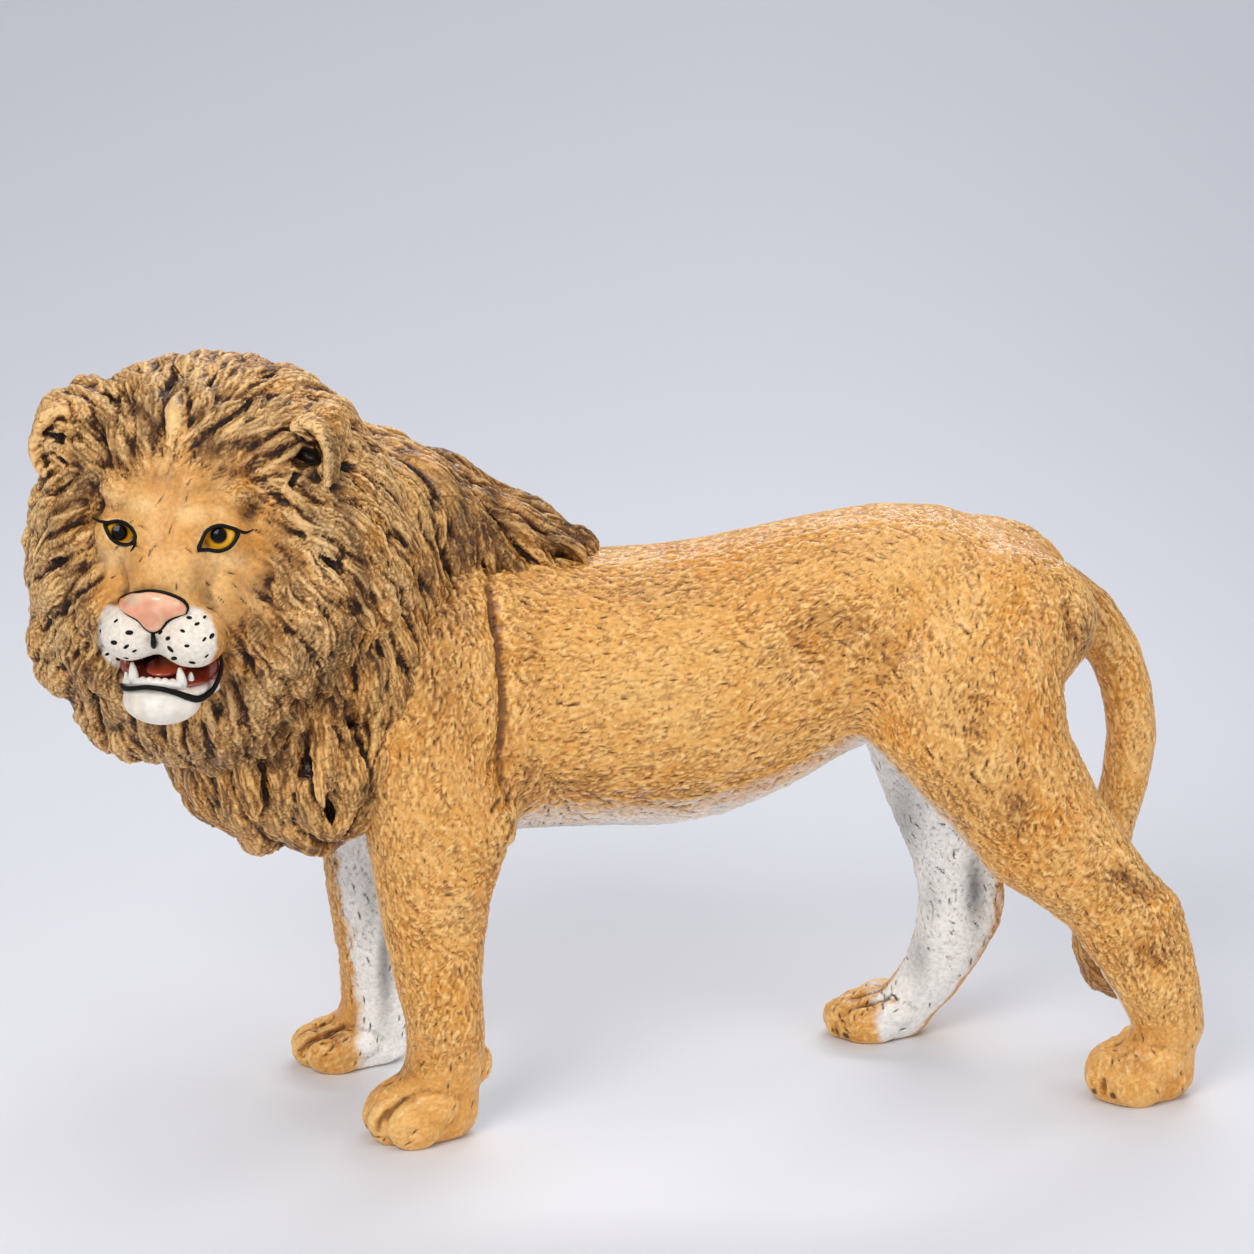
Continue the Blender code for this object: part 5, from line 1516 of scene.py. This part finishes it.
def model_head():
    """Face, ears and ruff; and the skin before its eyes are sunk, on which the painted details lie."""
    base = head_base()
    comb = Comb(base.tree(), RUFF_STROKES, (HEAD_CENTRE, SIDE))
    clay, locks = head_clay(comb, base)
    lids = clay.tree()
    for pixels in EAR_HOLLOWS:
        clay.carve(traced(lids, pixels, EAR_HOLLOW_STATIONS), *EAR_HOLLOW)

    pixels = seen_at(clay.points)
    front = (to_head(clay.points)[:, 2] > EYE_FRONT) & (clay.normals @ BACK > FACING_LEAST_SHARE)
    for rim in EYE_RIMS:
        depth = np.clip(inside(pixels, rim) / EYE_RIM_BLEND + EYE_RIM_SHARE, 0.0, 1.0) * front
        clay.points -= FACE * (depth * EYE_SINK)[:, None]
    clay.update()

    clay.carve(traced(lids, FOREHEAD_TUFT, TUFT_STATIONS), *TUFT_RIDGE)
    share = face_share(clay.points)
    furry = np.clip((share - FUR_START_SHARE) * FUR_RISE, FACE_FUR_SHARE, 1.0)
    flow = comb.flow(clay.points, clay.normals)
    line, _, pits = dabs_on(clay, flow, FACE_DABS, FACE_PIT_SHARE)
    strand, tone, hair = strands_on(clay, locks)
    hair = hair * np.clip((share - STRAND_START_SHARE) * STRAND_RISE, 0.0, 1.0)
    patchy = MUZZLE_PATCH_SHARE * clay.patches(MUZZLE_PATCHES)
    muzzle = inside(pixels, MUZZLE_EDGE) / MUZZLE_BLEND + MUZZLE_EDGE_SHARE + patchy
    muzzle = np.clip(muzzle, 0.0, 1.0) * front
    line = line * (1.0 - hair) * furry * (1.0 - muzzle)
    pits = pits * (1.0 - hair) * (1.0 - muzzle)
    groove = strokes_on(clay, flow, *HEAD_COMB)
    combed = FACE_COMB_SHARE + (1.0 - FACE_COMB_SHARE) * hair
    combing = HEAD_STRAND * hair * np.cos(np.pi * strand) + HAIR_COMBING * groove * furry * combed
    clay.push((combing - FACE_CARVING * line - FACE_CARVING * pits) * (1.0 - MUZZLE_SMOOTH_SHARE * muzzle))

    ahead = np.clip(to_head(clay.points)[:, 2] / AHEAD_BLEND - AHEAD_SHARE, 0.0, 1.0)
    brown = zone_share(pixels, HEAD_ZONES) * ahead + BACK_WASH_SHARE * (1.0 - ahead)
    crease = line_share(pixels, RUFF_CREASE, RUFF_CREASE_WIDTH) * (share > CREASE_START_SHARE)
    ring = RING_WASH_SHARE * np.exp(-((share - RING_SHARE) / RING_WIDTH_SHARE) ** 2)
    brown = np.maximum(np.maximum(brown, crease), ring)
    washed = np.clip((share - WASH_START_SHARE) * WASH_RISE, FACE_FUR_SHARE, 1.0)
    strokes = np.clip(COMB_LINE_SHARE * groove, 0.0, 1.0) * furry * (1.0 - muzzle)
    clay.store(relief=relief_of(clay, NEAR_RELIEF) * washed, broad=relief_of(clay, HEAD_BROAD) * washed,
               line=np.maximum(line, strokes), hair=hair, strand=strand, pits=pits, white=muzzle,
               tone=LOCK_TONE_SHARE * tone * hair + COMB_TONE_SHARE * groove * furry,
               pale=zone_share(pixels, HEAD_PALE_AND_HIGHLIGHT_ZONES) * ahead,
               umber=np.clip(brown + HEAD_PATCH_SHARE * clay.patches(HEAD_PATCHES) * furry, 0.0, 1.0))
    return clay.obj, lids


# How finely nose, eyeballs, lines and spots are made: points along, and rings and points round
NOSE_STATIONS = 54
EYE_MESH = (32, 48)
SPOT_MESH = (8, 12)
LINE_DENSITY = 4
LINE_AROUND = 10


def model_nose(lids):
    """The nose: a domed pad that covers its outline and follows the skin under it."""
    out = unit(FACE + UP * NOSE_LEAN)
    outline = smooth_path(NOSE_PIXELS + NOSE_PIXELS[:1], NOSE_STATIONS)[:-1]
    middle = outline.mean(0)
    rings = [hits(lids, middle + (outline - middle) * share)[0] + out * lift * NOSE_HEIGHT
             for share, lift in PAD_SHARES]
    centre = hits(lids, [middle])[0][0]
    return made_object("nose", [skin_rings(rings, centre - out * NOSE_DEPTH, centre + out * NOSE_HEIGHT)])


def line_solid(tree, pixels, radii, rise=LINE_RISE):
    """A painted line as a thin raised bead on a skin."""
    path = hits(tree, pixels)[0] + BACK * rise
    count = len(path) * LINE_DENSITY
    return tube(smooth_path(path, count), tapered(radii, count), LINE_AROUND)


def model_eyes():
    """Both eyeballs."""
    radii = (EYEBALL_RADIUS,) * 3
    return [made_object(name, [ball(on_face(pixel, EYE_DEPTH), radii, np.eye(3), *EYE_MESH)])
            for name, pixel in zip(("eye_right", "eye_left"), EYE_PIXELS)]


def model_lines(lids):
    """Black lid rims with the lines at their corners, the line under the nose and the nose's outline."""
    lines = [(rim + rim[:2], (EYE_RIM_RADIUS,) * 4, LINE_RISE) for rim in EYE_RIMS]
    lines += [(tail, EYE_TAIL_RADII, LINE_RISE) for tail in EYE_TAILS]
    lines += [(PHILTRUM, PHILTRUM_RADII, LINE_RISE),
              (NOSE_PIXELS[8:17], NOSE_LOWER_RADII, NOSE_LOWER_RISE),
              ((NOSE_PIXELS[17],) + NOSE_PIXELS[:9], NOSE_UPPER_RADII, NOSE_UPPER_RISE)]
    return made_object("painted_lines", [line_solid(lids, *line) for line in lines])


def model_whiskers(lids):
    """The spots from which the whiskers would grow, each a flat dab of paint at its own lean."""
    spots = []
    places, normals = hits(lids, WHISKER_PIXELS)
    long, thick, high = WHISKER_SPOT
    for place, normal in zip(places, normals):
        across = unit(np.cross(normal, UP))
        lean = CHANCE.uniform(-WHISKER_LEAN, WHISKER_LEAN)
        axes = np.array([across * math.cos(lean) + UP * math.sin(lean), normal, np.cross(across, normal)])
        size = CHANCE.uniform(*WHISKER_SHARES)
        spots.append(ball(place, (long * size, thick, high * size), axes, *SPOT_MESH))
    return made_object("whisker_spots", spots)


# Rounds of smoothing of chin and gums, and how much each gives back; points round the lip, and of the teeth
CHIN_SMOOTHING = (10, 0.8)
GUM_SMOOTHING = (4, 0.0)
LIP_AROUND = 12
TOOTH_STATIONS = 24


def evened(name, forms, smoothing):
    """Blended forms of the head as one smoothed skin."""
    obj = made_object(name, [head_ball(*form) for form in forms])
    voxels(obj, JAW_GRAIN)
    Clay(obj).relax(*smoothing)
    return obj


def model_mouth():
    """Black lower lip, chin, gums, tongue and teeth."""
    lip = smooth_path([on_face(pixel, depth) for pixel, depth in zip(LIP_LINE, LIP_DEPTHS)], LIP_STATIONS)
    lips = made_object("lower_lip", [tube(lip, tapered(LIP_RADII, LIP_STATIONS), LIP_AROUND)])
    chin = evened("chin", CHIN_FORMS, CHIN_SMOOTHING)
    gums = evened("gums", GUM_FORMS, GUM_SMOOTHING)
    tongue = made_object("tongue", [head_ball(*TONGUE_FORM)])

    row = [on_face(pixel, depth) for pixel, depth in TOOTH_ROW]
    teeth = [tube(smooth_path(row, TOOTH_STATIONS), np.full(TOOTH_STATIONS, TOOTH_ROW_RADIUS))]
    for root, tip, depth, radius in CANINES:
        low, high = on_face(root, depth), on_face(tip, depth + CANINE_LEAN)
        teeth.append(tube([low + (high - low) * share for share in CANINE_PLACE_SHARES],
                          [radius * share for share in CANINE_TAPER_SHARES]))
    for place in smooth_path(row[1:5], INCISORS + 1)[:INCISORS]:
        teeth.append(ball(place + UP * INCISOR_RISE, INCISOR_RADII))
    return lips, chin, gums, tongue, made_object("teeth", teeth)


TAIL_MIDDLE = np.array([0.0, 2.0, 0.0])
TAIL_STROKES = (
    ((1088, 600), (1110, 640)), ((1128, 690), (1140, 740)), ((1140, 780), (1136, 830)),
    ((1095, 950), (1120, 985)),
)


# The tail's combing, heights of combing, line and pit, and wash on tuft and root
TAIL_COMB = (6, 0.3)
TAIL_COMBING = 0.03
TUFT_COMBING = 0.05
TAIL_LINE = 0.07
TAIL_PIT = 0.12
TAIL_PIT_SHARE = 0.03
TAIL_LINE_SHARE = 0.8
TAIL_BROAD = 60
TUFT_WASH_SHARE = 0.9
ROOT_WASH_SHARE = 0.5

# Heights at which the tuft and the root's wash begin, and over which each grows
TUFT_TOP = 20.0
TUFT_BLEND = 7.0
ROOT_LOW = 55.0
ROOT_BLEND = 6.0


def model_tail():
    """Tail and tuft, the tuft with coarser strands."""
    base = made_object("tail_skin", [node_solid("tail")])
    voxels(base, BODY_GRAIN)
    clay = Clay(base)
    clay.relax(*BASE_SMOOTHING)
    comb = Comb(clay.tree(), TAIL_STROKES, (TAIL_MIDDLE, MIDDLE_PLANE[1]))
    flow = comb.flow(clay.points, clay.normals)
    tuft = np.clip((TUFT_TOP - clay.points[:, 2]) / TUFT_BLEND, 0.0, 1.0)
    line, tone, pits = dabs_on(clay, flow, BODY_DABS, TAIL_PIT_SHARE)
    groove = strokes_on(clay, flow, *TAIL_COMB)
    clay.push((TAIL_COMBING + TUFT_COMBING * tuft) * groove - TAIL_LINE * line - TAIL_PIT * pits)
    root = np.clip((clay.points[:, 2] - ROOT_LOW) / ROOT_BLEND, 0.0, 1.0)
    clay.store(relief=relief_of(clay, NEAR_RELIEF), broad=relief_of(clay, TAIL_BROAD),
               line=line * TAIL_LINE_SHARE, tone=tone, pits=pits,
               umber=np.maximum(tuft * TUFT_WASH_SHARE, ROOT_WASH_SHARE * root))
    return clay.obj


# Paint

def srgb(text):
    """A hex colour as linear red, green, blue and alpha."""
    parts = [int(text[i:i + 2], 16) / 255.0 for i in (0, 2, 4)]
    return tuple(p / 12.92 if p <= 0.04045 else ((p + 0.055) / 1.055) ** 2.4 for p in parts) + (1.0,)


def new_material(name):
    """A material, its nodes and its shader."""
    material = bpy.data.materials.new(name)
    material.use_nodes = True
    return material, material.node_tree, material.node_tree.nodes["Principled BSDF"]


def add(tree, kind, settings=None, **inputs):
    """Adds a node with its settings, and sets or links its inputs, whose names may hold a position."""
    node = tree.nodes.new("ShaderNode" + kind)
    for name, value in (settings or {}).items():
        setattr(node, name, value)
    for name, value in inputs.items():
        place = int(name[1:]) if name[0] == "i" and name[1:].isdigit() else name.replace("_", " ")
        if isinstance(value, bpy.types.NodeSocket):
            tree.links.new(value, node.inputs[place])
        else:
            node.inputs[place].default_value = value
    return node


def pattern(tree, size, detail, roughness=0.5):
    """Soft random marks of a size in millimetres all through a piece."""
    place = add(tree, "TexCoord").outputs["Object"]
    return add(tree, "TexNoise", Vector=place, Scale=1.0 / (size * MM), Detail=detail,
               Roughness=roughness).outputs["Fac"]


def mask(tree, name, low=0.0, high=1.0, at_low=0.0, at_high=1.0):
    """A stored value of the skin, read as one number where it is low and as another where it is high."""
    value = add(tree, "Attribute", {"attribute_name": name}).outputs["Fac"]
    return add(tree, "MapRange", {"clamp": True}, i0=value, i1=low, i2=high, i3=at_low, i4=at_high).outputs[0]


def coats(tree, colour, *layers):
    """Paint under further coats, each with where it lies, the share of it that covers, and its colour."""
    for where, share, paint in layers:
        cover = add(tree, "Math", {"operation": "MULTIPLY"}, i0=where, i1=share).outputs[0]
        colour = add(tree, "Mix", {"data_type": "RGBA"}, i0=cover, i6=colour, i7=paint).outputs[2]
    return colour


# Fur paint: greys in the white, the shares of each coat, and the height that the stipple stands
WHITE_HOLLOW = "9c9893"
WHITE_LINE = "84827f"
WHITE_GREY = "6d6c6c"
WASH_SHARE = 0.8
PALE_AND_HIGHLIGHT_SHARE = 0.8
TONE_SHARE = 0.42
COMBED_SHARE = 0.5
LINE_SHARE = 0.7
RIDGE_SHARE = 0.85
PIT_PAINT_SHARE = 0.85
UNDER_WASH_SHARE = 0.35
FUR_SPECULAR = 0.12
FUR_BUMP = 0.06
COMBED_BUMP_SHARE = -1.6
SHINE_SPREAD = 0.14
FUR_BUMP_STRENGTH = 0.7
DRIFT_SHARE = 0.6
WHITE_LINE_SHARE = 0.4
MARKS_ROUGHNESS = 0.6

# Where each stored value begins to take paint and where it takes all of it
TONED = (0.1, 1.3)
LINED = (0.2, 0.9)
HOLLOW = (-0.3, -2.0)
BROAD_HOLLOW = (-0.15, -1.3)
DEEP_HOLLOW = (-1.0, -2.3)
RIDGE = (0.35, 1.6)
WHITENED = (0.2, 0.7)
SNOW_HOLLOW = (-0.3, -2.2)
SNOW_LINED = (0.5, 1.0)
PITTED = (0.25, 0.9)

# How patterns are read: their low and high (i1, i2), and what they give there (i3, i4)
CLOUD_READ = {"i1": 0.35, "i2": 0.68, "i3": 0.0, "i4": 0.5}
GAP_READ = {"i1": 0.1, "i2": -0.9, "i3": 0.0, "i4": 1.0}
STIPPLE_READ = {"i1": 0.3, "i2": 0.72, "i3": 0.84, "i4": 1.12}
SHINE_READ = {"i1": 0.3, "i2": 0.7}
STREAK_READ = {"i1": 0.3, "i2": 0.7, "i3": 0.84, "i4": 1.08}
# The enamel's clouds, which on the nose are painted highlights
TOUCH_AND_HIGHLIGHT_READ = {"i1": 0.42, "i2": 0.58, "i3": 0.0, "i4": 0.9}


def fur_paint(name, colours, wash_share, shine, coat):
    """Acrylic paint on moulded PVC: a base coat, a dark wash in the hollows, dry brushing on the ridges."""
    base, light, wash, deep, white = (srgb(colour) for colour in colours)
    material, tree, shader = new_material(name)
    blotch = pattern(tree, CLOUD, 3.0, MARKS_ROUGHNESS)
    stipple = pattern(tree, STIPPLE, 2.0, MARKS_ROUGHNESS)
    tone = add(tree, "MapRange", i0=blotch, **CLOUD_READ).outputs[0]
    # The pale coat is lighter paint, and in places a painted highlight
    colour = coats(tree, base, (tone, 1.0, light), (mask(tree, "umber"), WASH_SHARE, wash),
                   (mask(tree, "pale"), PALE_AND_HIGHLIGHT_SHARE, light),
                   (mask(tree, "tone", *TONED),
                    mask(tree, "umber", at_low=TONE_SHARE, at_high=TONE_SHARE * UNDER_WASH_SHARE), light))

    # Fine dark lines between the strands of a lock, which drift a little
    strand = add(tree, "Attribute", {"attribute_name": "strand"}).outputs["Fac"]
    phase = add(tree, "Math", {"operation": "MULTIPLY_ADD"}, i0=pattern(tree, DRIFT, 1.0), i1=DRIFT_SHARE,
                i2=strand)
    turn = add(tree, "Math", {"operation": "MULTIPLY"}, i0=phase.outputs[0], i1=2.0 * math.pi)
    wave = add(tree, "Math", {"operation": "SINE"}, i0=turn.outputs[0])
    between = add(tree, "MapRange", i0=wave.outputs[0], **GAP_READ)
    combed = add(tree, "Math", {"operation": "MULTIPLY"}, i0=between.outputs[0],
                 i1=mask(tree, "hair")).outputs[0]

    colour = coats(tree, colour, (combed, COMBED_SHARE, wash),
                   (mask(tree, "line", *LINED), LINE_SHARE, wash),
                   (mask(tree, "relief", *HOLLOW), wash_share, wash),
                   (mask(tree, "broad", *BROAD_HOLLOW), wash_share, wash),
                   (mask(tree, "broad", *DEEP_HOLLOW), wash_share, deep),
                   (mask(tree, "relief", *RIDGE),
                    mask(tree, "umber", at_low=RIDGE_SHARE, at_high=RIDGE_SHARE * UNDER_WASH_SHARE), light))
    snow = coats(tree, white, (mask(tree, "relief", *SNOW_HOLLOW), 1.0, srgb(WHITE_HOLLOW)),
                 (mask(tree, "line", *SNOW_LINED), WHITE_LINE_SHARE, srgb(WHITE_LINE)),
                 (mask(tree, "grey"), 1.0, srgb(WHITE_GREY)))
    colour = coats(tree, colour, (mask(tree, "white", *WHITENED), 1.0, snow),
                   (mask(tree, "pits", *PITTED), PIT_PAINT_SHARE, deep))
    fine = add(tree, "MapRange", i0=stipple, **STIPPLE_READ).outputs[0]
    colour = add(tree, "Mix", {"data_type": "RGBA", "blend_type": "MULTIPLY"}, i0=1.0, i6=colour, i7=fine)
    tree.links.new(colour.outputs[2], shader.inputs["Base Color"])
    rough = add(tree, "MapRange", i0=stipple, **SHINE_READ, i3=shine, i4=shine + SHINE_SPREAD)
    tree.links.new(rough.outputs[0], shader.inputs["Roughness"])
    shader.inputs["Specular IOR Level"].default_value = FUR_SPECULAR
    shader.inputs["Coat Weight"].default_value = coat[0]
    shader.inputs["Coat Roughness"].default_value = coat[1]
    carving = add(tree, "Math", {"operation": "MULTIPLY_ADD"}, i0=combed, i1=COMBED_BUMP_SHARE, i2=stipple)
    bump = add(tree, "Bump", Height=carving.outputs[0], Distance=FUR_BUMP * MM,
               Strength=FUR_BUMP_STRENGTH)
    tree.links.new(bump.outputs[0], shader.inputs["Normal"])
    return material


ENAMEL_BUMP = 0.04
ENAMEL_BUMP_STRENGTH = 0.4


def gloss_paint(name, colour, roughness, coat=0.0, specular=0.5, second_tone_and_highlight=None):
    """Plain enamel-like acrylic, brushed on thick enough to lie smooth, with cloudy touches of a second
    colour, which on the white is a tone of its own and on the nose a painted highlight.
    """
    material, tree, shader = new_material(name)
    streak = pattern(tree, STREAK, 3.0, MARKS_ROUGHNESS)
    tone = add(tree, "MapRange", i0=streak, **STREAK_READ).outputs[0]
    touches_and_highlights = add(tree, "MapRange", i0=pattern(tree, TOUCH_AND_HIGHLIGHT, 2.0), **TOUCH_AND_HIGHLIGHT_READ).outputs[0]
    paint = coats(tree, srgb(colour), (touches_and_highlights, 1.0, srgb(second_tone_and_highlight or colour)))
    paint = add(tree, "Mix", {"data_type": "RGBA", "blend_type": "MULTIPLY"}, i0=1.0, i6=paint, i7=tone)
    tree.links.new(paint.outputs[2], shader.inputs["Base Color"])
    shader.inputs["Roughness"].default_value = roughness
    shader.inputs["Specular IOR Level"].default_value = specular
    shader.inputs["Coat Weight"].default_value = coat
    bump = add(tree, "Bump", Height=streak, Distance=ENAMEL_BUMP * MM,
               Strength=ENAMEL_BUMP_STRENGTH)
    tree.links.new(bump.outputs[0], shader.inputs["Normal"])
    return material


# The eye's paint: rings from the pupil's middle outwards, as shares of the painted radius
IRIS_RADIUS = 2.2
EYE_ROUGHNESS = 0.1
EYE_SPECULAR = 0.2
IRIS_SHARES = (
    (0.0, "030202"), (0.38, "050403"), (0.42, "7a4808"), (0.50, "d9a01a"), (0.66, "efb524"),
    (0.80, "dd9510"), (0.90, "7c4408"), (0.96, "140c06"),
)


def eye_paint(centre):
    """Gloss acrylic: black pupil, amber iris with a paler inner ring, under clear lacquer."""
    material, tree, shader = new_material("amber_eye_gloss")
    place = add(tree, "TexCoord").outputs["Object"]
    gap = add(tree, "VectorMath", {"operation": "DISTANCE"}, i0=place, i1=tuple(centre)).outputs["Value"]
    out = add(tree, "MapRange", i0=gap, i1=0.0, i2=IRIS_RADIUS * MM, i3=0.0, i4=1.0).outputs[0]
    ring = add(tree, "ValToRGB", Fac=out)
    ramp = ring.color_ramp
    while len(ramp.elements) < len(IRIS_SHARES):
        ramp.elements.new(0.5)
    for element, (share, colour) in zip(ramp.elements, IRIS_SHARES):
        element.position = share
        element.color = srgb(colour)
    tree.links.new(ring.outputs["Color"], shader.inputs["Base Color"])
    shader.inputs["Roughness"].default_value = EYE_ROUGHNESS
    shader.inputs["Specular IOR Level"].default_value = EYE_SPECULAR
    return material


def dress(obj, material, slot, *nodes):
    """Paints a piece, lets it ride on the figure and stand for its CAD nodes."""
    obj.data.materials.clear()
    obj.data.materials.append(material)
    obj.data.shade_smooth()
    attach(obj, "root")
    if nodes:
        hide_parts(*nodes)


# Stage, light and camera, in metres

NEAREST = 0.01
FLOOR_HALF_WIDTH = 1.2
FLOOR_FRONT = -1.0
FLOOR_DROP = 0.02 * MM
BEND_START = 0.3
BEND_RADIUS = 0.35
BEND_STEPS = 14
WALL_TOP = 1.1

# The paper: its own colour near the front, the same in painted shade far back, and a darker painted shade on
# the right side; places where each shade begins and ends
PAPER_AND_PAINTED_SHADE = ("e5e7ed", "b2b4bb", "a4a7b0")
PAPER_SHADE_FADE = (0.02, 0.5)
PAPER_SHADE_EDGE = (0.02, 0.18)
PAPER_SHADE_EDGE_SHARE = 0.55
PAPER_SHADE_EDGE_SLANT = -0.13
PAPER_ROUGHNESS = 0.9

# The room: its colour and strength as light, and as the camera sees it
ROOM = ("e6e9f0", "c9cbd1")
ROOM_LIGHT = 0.42

# Lamps: place, height of what each points at, size, power and colour
LAMPS = {
    "key": ((-0.42, -0.6, 0.6), 0.05, (0.4, 0.4), 4.0, "fffcf6"),
    "top": ((0.1, -0.05, 0.8), 0.05, (0.7, 0.35), 1.6, "ffffff"),
    "rim": ((0.1, 0.62, 0.5), 0.07, (0.9, 0.12), 3.4, "ffffff"),
    "fill": ((0.6, -0.6, 0.25), 0.05, (0.5, 0.5), 1.9, "f8faff"),
}


def set_camera():
    """The camera where the photograph was taken."""
    camera = bpy.data.objects.new("camera", bpy.data.cameras.new("camera"))
    bpy.context.scene.collection.objects.link(camera)
    turn = Matrix((RIGHT, ABOVE, BACK)).transposed().to_4x4()
    camera.matrix_world = Matrix.Translation(Vector((EYE + SHIFT) * MM)) @ turn
    camera.data.sensor_width = SENSOR
    camera.data.lens = SENSOR * FOCAL_PIXELS / PHOTO_SIZE
    camera.data.clip_start = NEAREST
    bpy.context.scene.camera = camera


def set_lamps():
    """Soft lamps all round."""
    for name, (place, aim, size, power, colour) in LAMPS.items():
        light = bpy.data.lights.new(name, "AREA")
        light.shape = "RECTANGLE"
        light.size, light.size_y = size
        light.energy = power
        light.color = srgb(colour)[:3]
        lamp = bpy.data.objects.new(name, light)
        lamp.location = place
        way = Vector((0.0, 0.0, aim)) - Vector(place)
        lamp.rotation_euler = way.to_track_quat("-Z", "Y").to_euler()
        bpy.context.scene.collection.objects.link(lamp)


def set_room():
    """A plain pale room, brighter where the camera, a glossy or a clear surface looks at it."""
    scene = bpy.context.scene
    scene.view_settings.view_transform = "Standard"
    world = bpy.data.worlds.new("studio")
    world.use_nodes = True
    scene.world = world
    tree = world.node_tree
    background = tree.nodes["Background"]
    path = add(tree, "LightPath")
    either = add(tree, "Math", {"operation": "MAXIMUM"}, i0=path.outputs["Is Camera Ray"],
                 i1=path.outputs["Is Glossy Ray"])
    share = add(tree, "Math", {"operation": "MAXIMUM"}, i0=either.outputs[0],
                i1=path.outputs["Is Transmission Ray"]).outputs[0]
    colour = coats(tree, srgb(ROOM[0]), (share, 1.0, srgb(ROOM[1])))
    tree.links.new(colour, background.inputs["Color"])
    strength = add(tree, "MapRange", i0=share, i1=0.0, i2=1.0, i3=ROOM_LIGHT, i4=1.0).outputs[0]
    tree.links.new(strength, background.inputs["Strength"])


def set_floor():
    """A sheet of seamless paper that bends up behind the figure, with painted shade that darkens it to the
    back and the right.
    """
    mesh = bpy.data.meshes.new("floor")
    turns = [math.pi / 2 * i / BEND_STEPS for i in range(BEND_STEPS + 1)]
    rows = [(FLOOR_FRONT, 0.0)]
    rows += [(BEND_START + BEND_RADIUS * math.sin(turn), BEND_RADIUS - BEND_RADIUS * math.cos(turn))
             for turn in turns]
    rows += [(rows[-1][0], WALL_TOP)]
    points = [(x, y, z - FLOOR_DROP) for y, z in rows for x in (-FLOOR_HALF_WIDTH, FLOOR_HALF_WIDTH)]
    faces = [(2 * i, 2 * i + 1, 2 * i + 3, 2 * i + 2) for i in range(len(rows) - 1)]
    mesh.from_pydata(points, [], faces)
    mesh.shade_smooth()
    floor = bpy.data.objects.new("floor", mesh)
    bpy.context.scene.collection.objects.link(floor)
    material, tree, shader = new_material("seamless_paper_painted_shade")
    place = add(tree, "SeparateXYZ", Vector=add(tree, "TexCoord").outputs["Object"])
    # Painted shade: the paper darkens towards the back, and further on the right side
    far = add(tree, "MapRange", i0=place.outputs["Y"], i1=PAPER_SHADE_FADE[0], i2=PAPER_SHADE_FADE[1], i3=0.0, i4=1.0)
    aside = add(tree, "Math", {"operation": "MULTIPLY_ADD"}, i0=place.outputs["Y"], i1=PAPER_SHADE_EDGE_SLANT,
                i2=place.outputs["X"])
    edge = add(tree, "MapRange", {"interpolation_type": "SMOOTHSTEP"}, i0=aside.outputs[0],
               i1=PAPER_SHADE_EDGE[0], i2=PAPER_SHADE_EDGE[1], i3=0.0, i4=PAPER_SHADE_EDGE_SHARE)
    # The back and right colours are the paper's own colour in painted shade
    near, back, right = (srgb(colour) for colour in PAPER_AND_PAINTED_SHADE)
    colour = coats(tree, near, (far.outputs[0], 1.0, back), (edge.outputs[0], 1.0, right))
    tree.links.new(colour, shader.inputs["Base Color"])
    shader.inputs["Roughness"].default_value = PAPER_ROUGHNESS
    mesh.materials.append(material)


set_camera()
set_room()
set_floor()
set_lamps()

# Matt acrylic over moulded PVC on trunk, legs and tail: warm tan with a brown wash in its fur strokes
TAN = fur_paint("tan_painted_pvc", ("dd9740", "fbcd84", "6e3c16", "200e05", "fcf8f2"), 0.55, 0.36,
                (0.32, 0.16))

# The same under a heavy dark wash, dry-brushed with straw: the mane's locks stand out of dark gaps
HAIR = fur_paint("brown_washed_pvc", ("c47f33", "fdc97e", "401e06", "0c0502", "fcf8f2"), 1.0, 0.4,
                 (0.24, 0.16))

# The same on the head, rubbed smoother, so the bare face shows no streaks of light
HEAD_PAINT = fur_paint("head_painted_pvc", ("d99544", "fdd292", "472408", "100802", "f0e5d6"), 0.95, 0.45,
                       (0.2, 0.3))

# Satin acrylic, off-white and a little cloudy
WHITE = gloss_paint("white_painted_pvc", "f8f1e5", 0.38, second_tone_and_highlight="efe3d0")

# Lacquered acrylics, which give teeth, nose and mouth a wet shine
TOOTH = gloss_paint("ivory_gloss", "f4f0e8", 0.25, 0.5)
# The nose's paler clouds are painted highlights
PINK_AND_HIGHLIGHT = gloss_paint("salmon_gloss_painted_highlight", "f0a47c", 0.3, 0.6, second_tone_and_highlight="fbd0ae")
RED = gloss_paint("red_brown_gloss", "8c3217", 0.25, 0.6)
TONGUE = gloss_paint("tongue_gloss", "a5432c", 0.25, 0.6)

# Satin black with hardly a highlight, for drawn lines, spots and the lip
BLACK = gloss_paint("black_satin", "0c0908", 0.5, specular=0.15)

dress(model_body(), TAN, "tan_fur", *BODY_NODES)
dress(model_mane(), HAIR, "mane_fur", "mane_collar")
head_skin, lids = model_head()
dress(head_skin, HEAD_PAINT, "head_fur", "head")
for eye, pixel in zip(model_eyes(), EYE_PIXELS):
    pupil = on_face(pixel, EYE_DEPTH) + BACK * EYEBALL_RADIUS
    dress(eye, eye_paint((pupil + SHIFT) * MM), "head_fur")
dress(model_lines(lids), BLACK, "head_fur")
dress(model_nose(lids), PINK_AND_HIGHLIGHT, "head_fur")
dress(model_whiskers(lids), BLACK, "head_fur")
lips, chin, gums, tongue, teeth = model_mouth()
dress(chin, WHITE, "jaw_paint", "lower_jaw")
dress(lips, BLACK, "jaw_paint")
dress(gums, RED, "jaw_paint")
dress(tongue, TONGUE, "jaw_paint")
dress(teeth, TOOTH, "jaw_paint")
dress(model_tail(), TAN, "tail_fur", "tail")
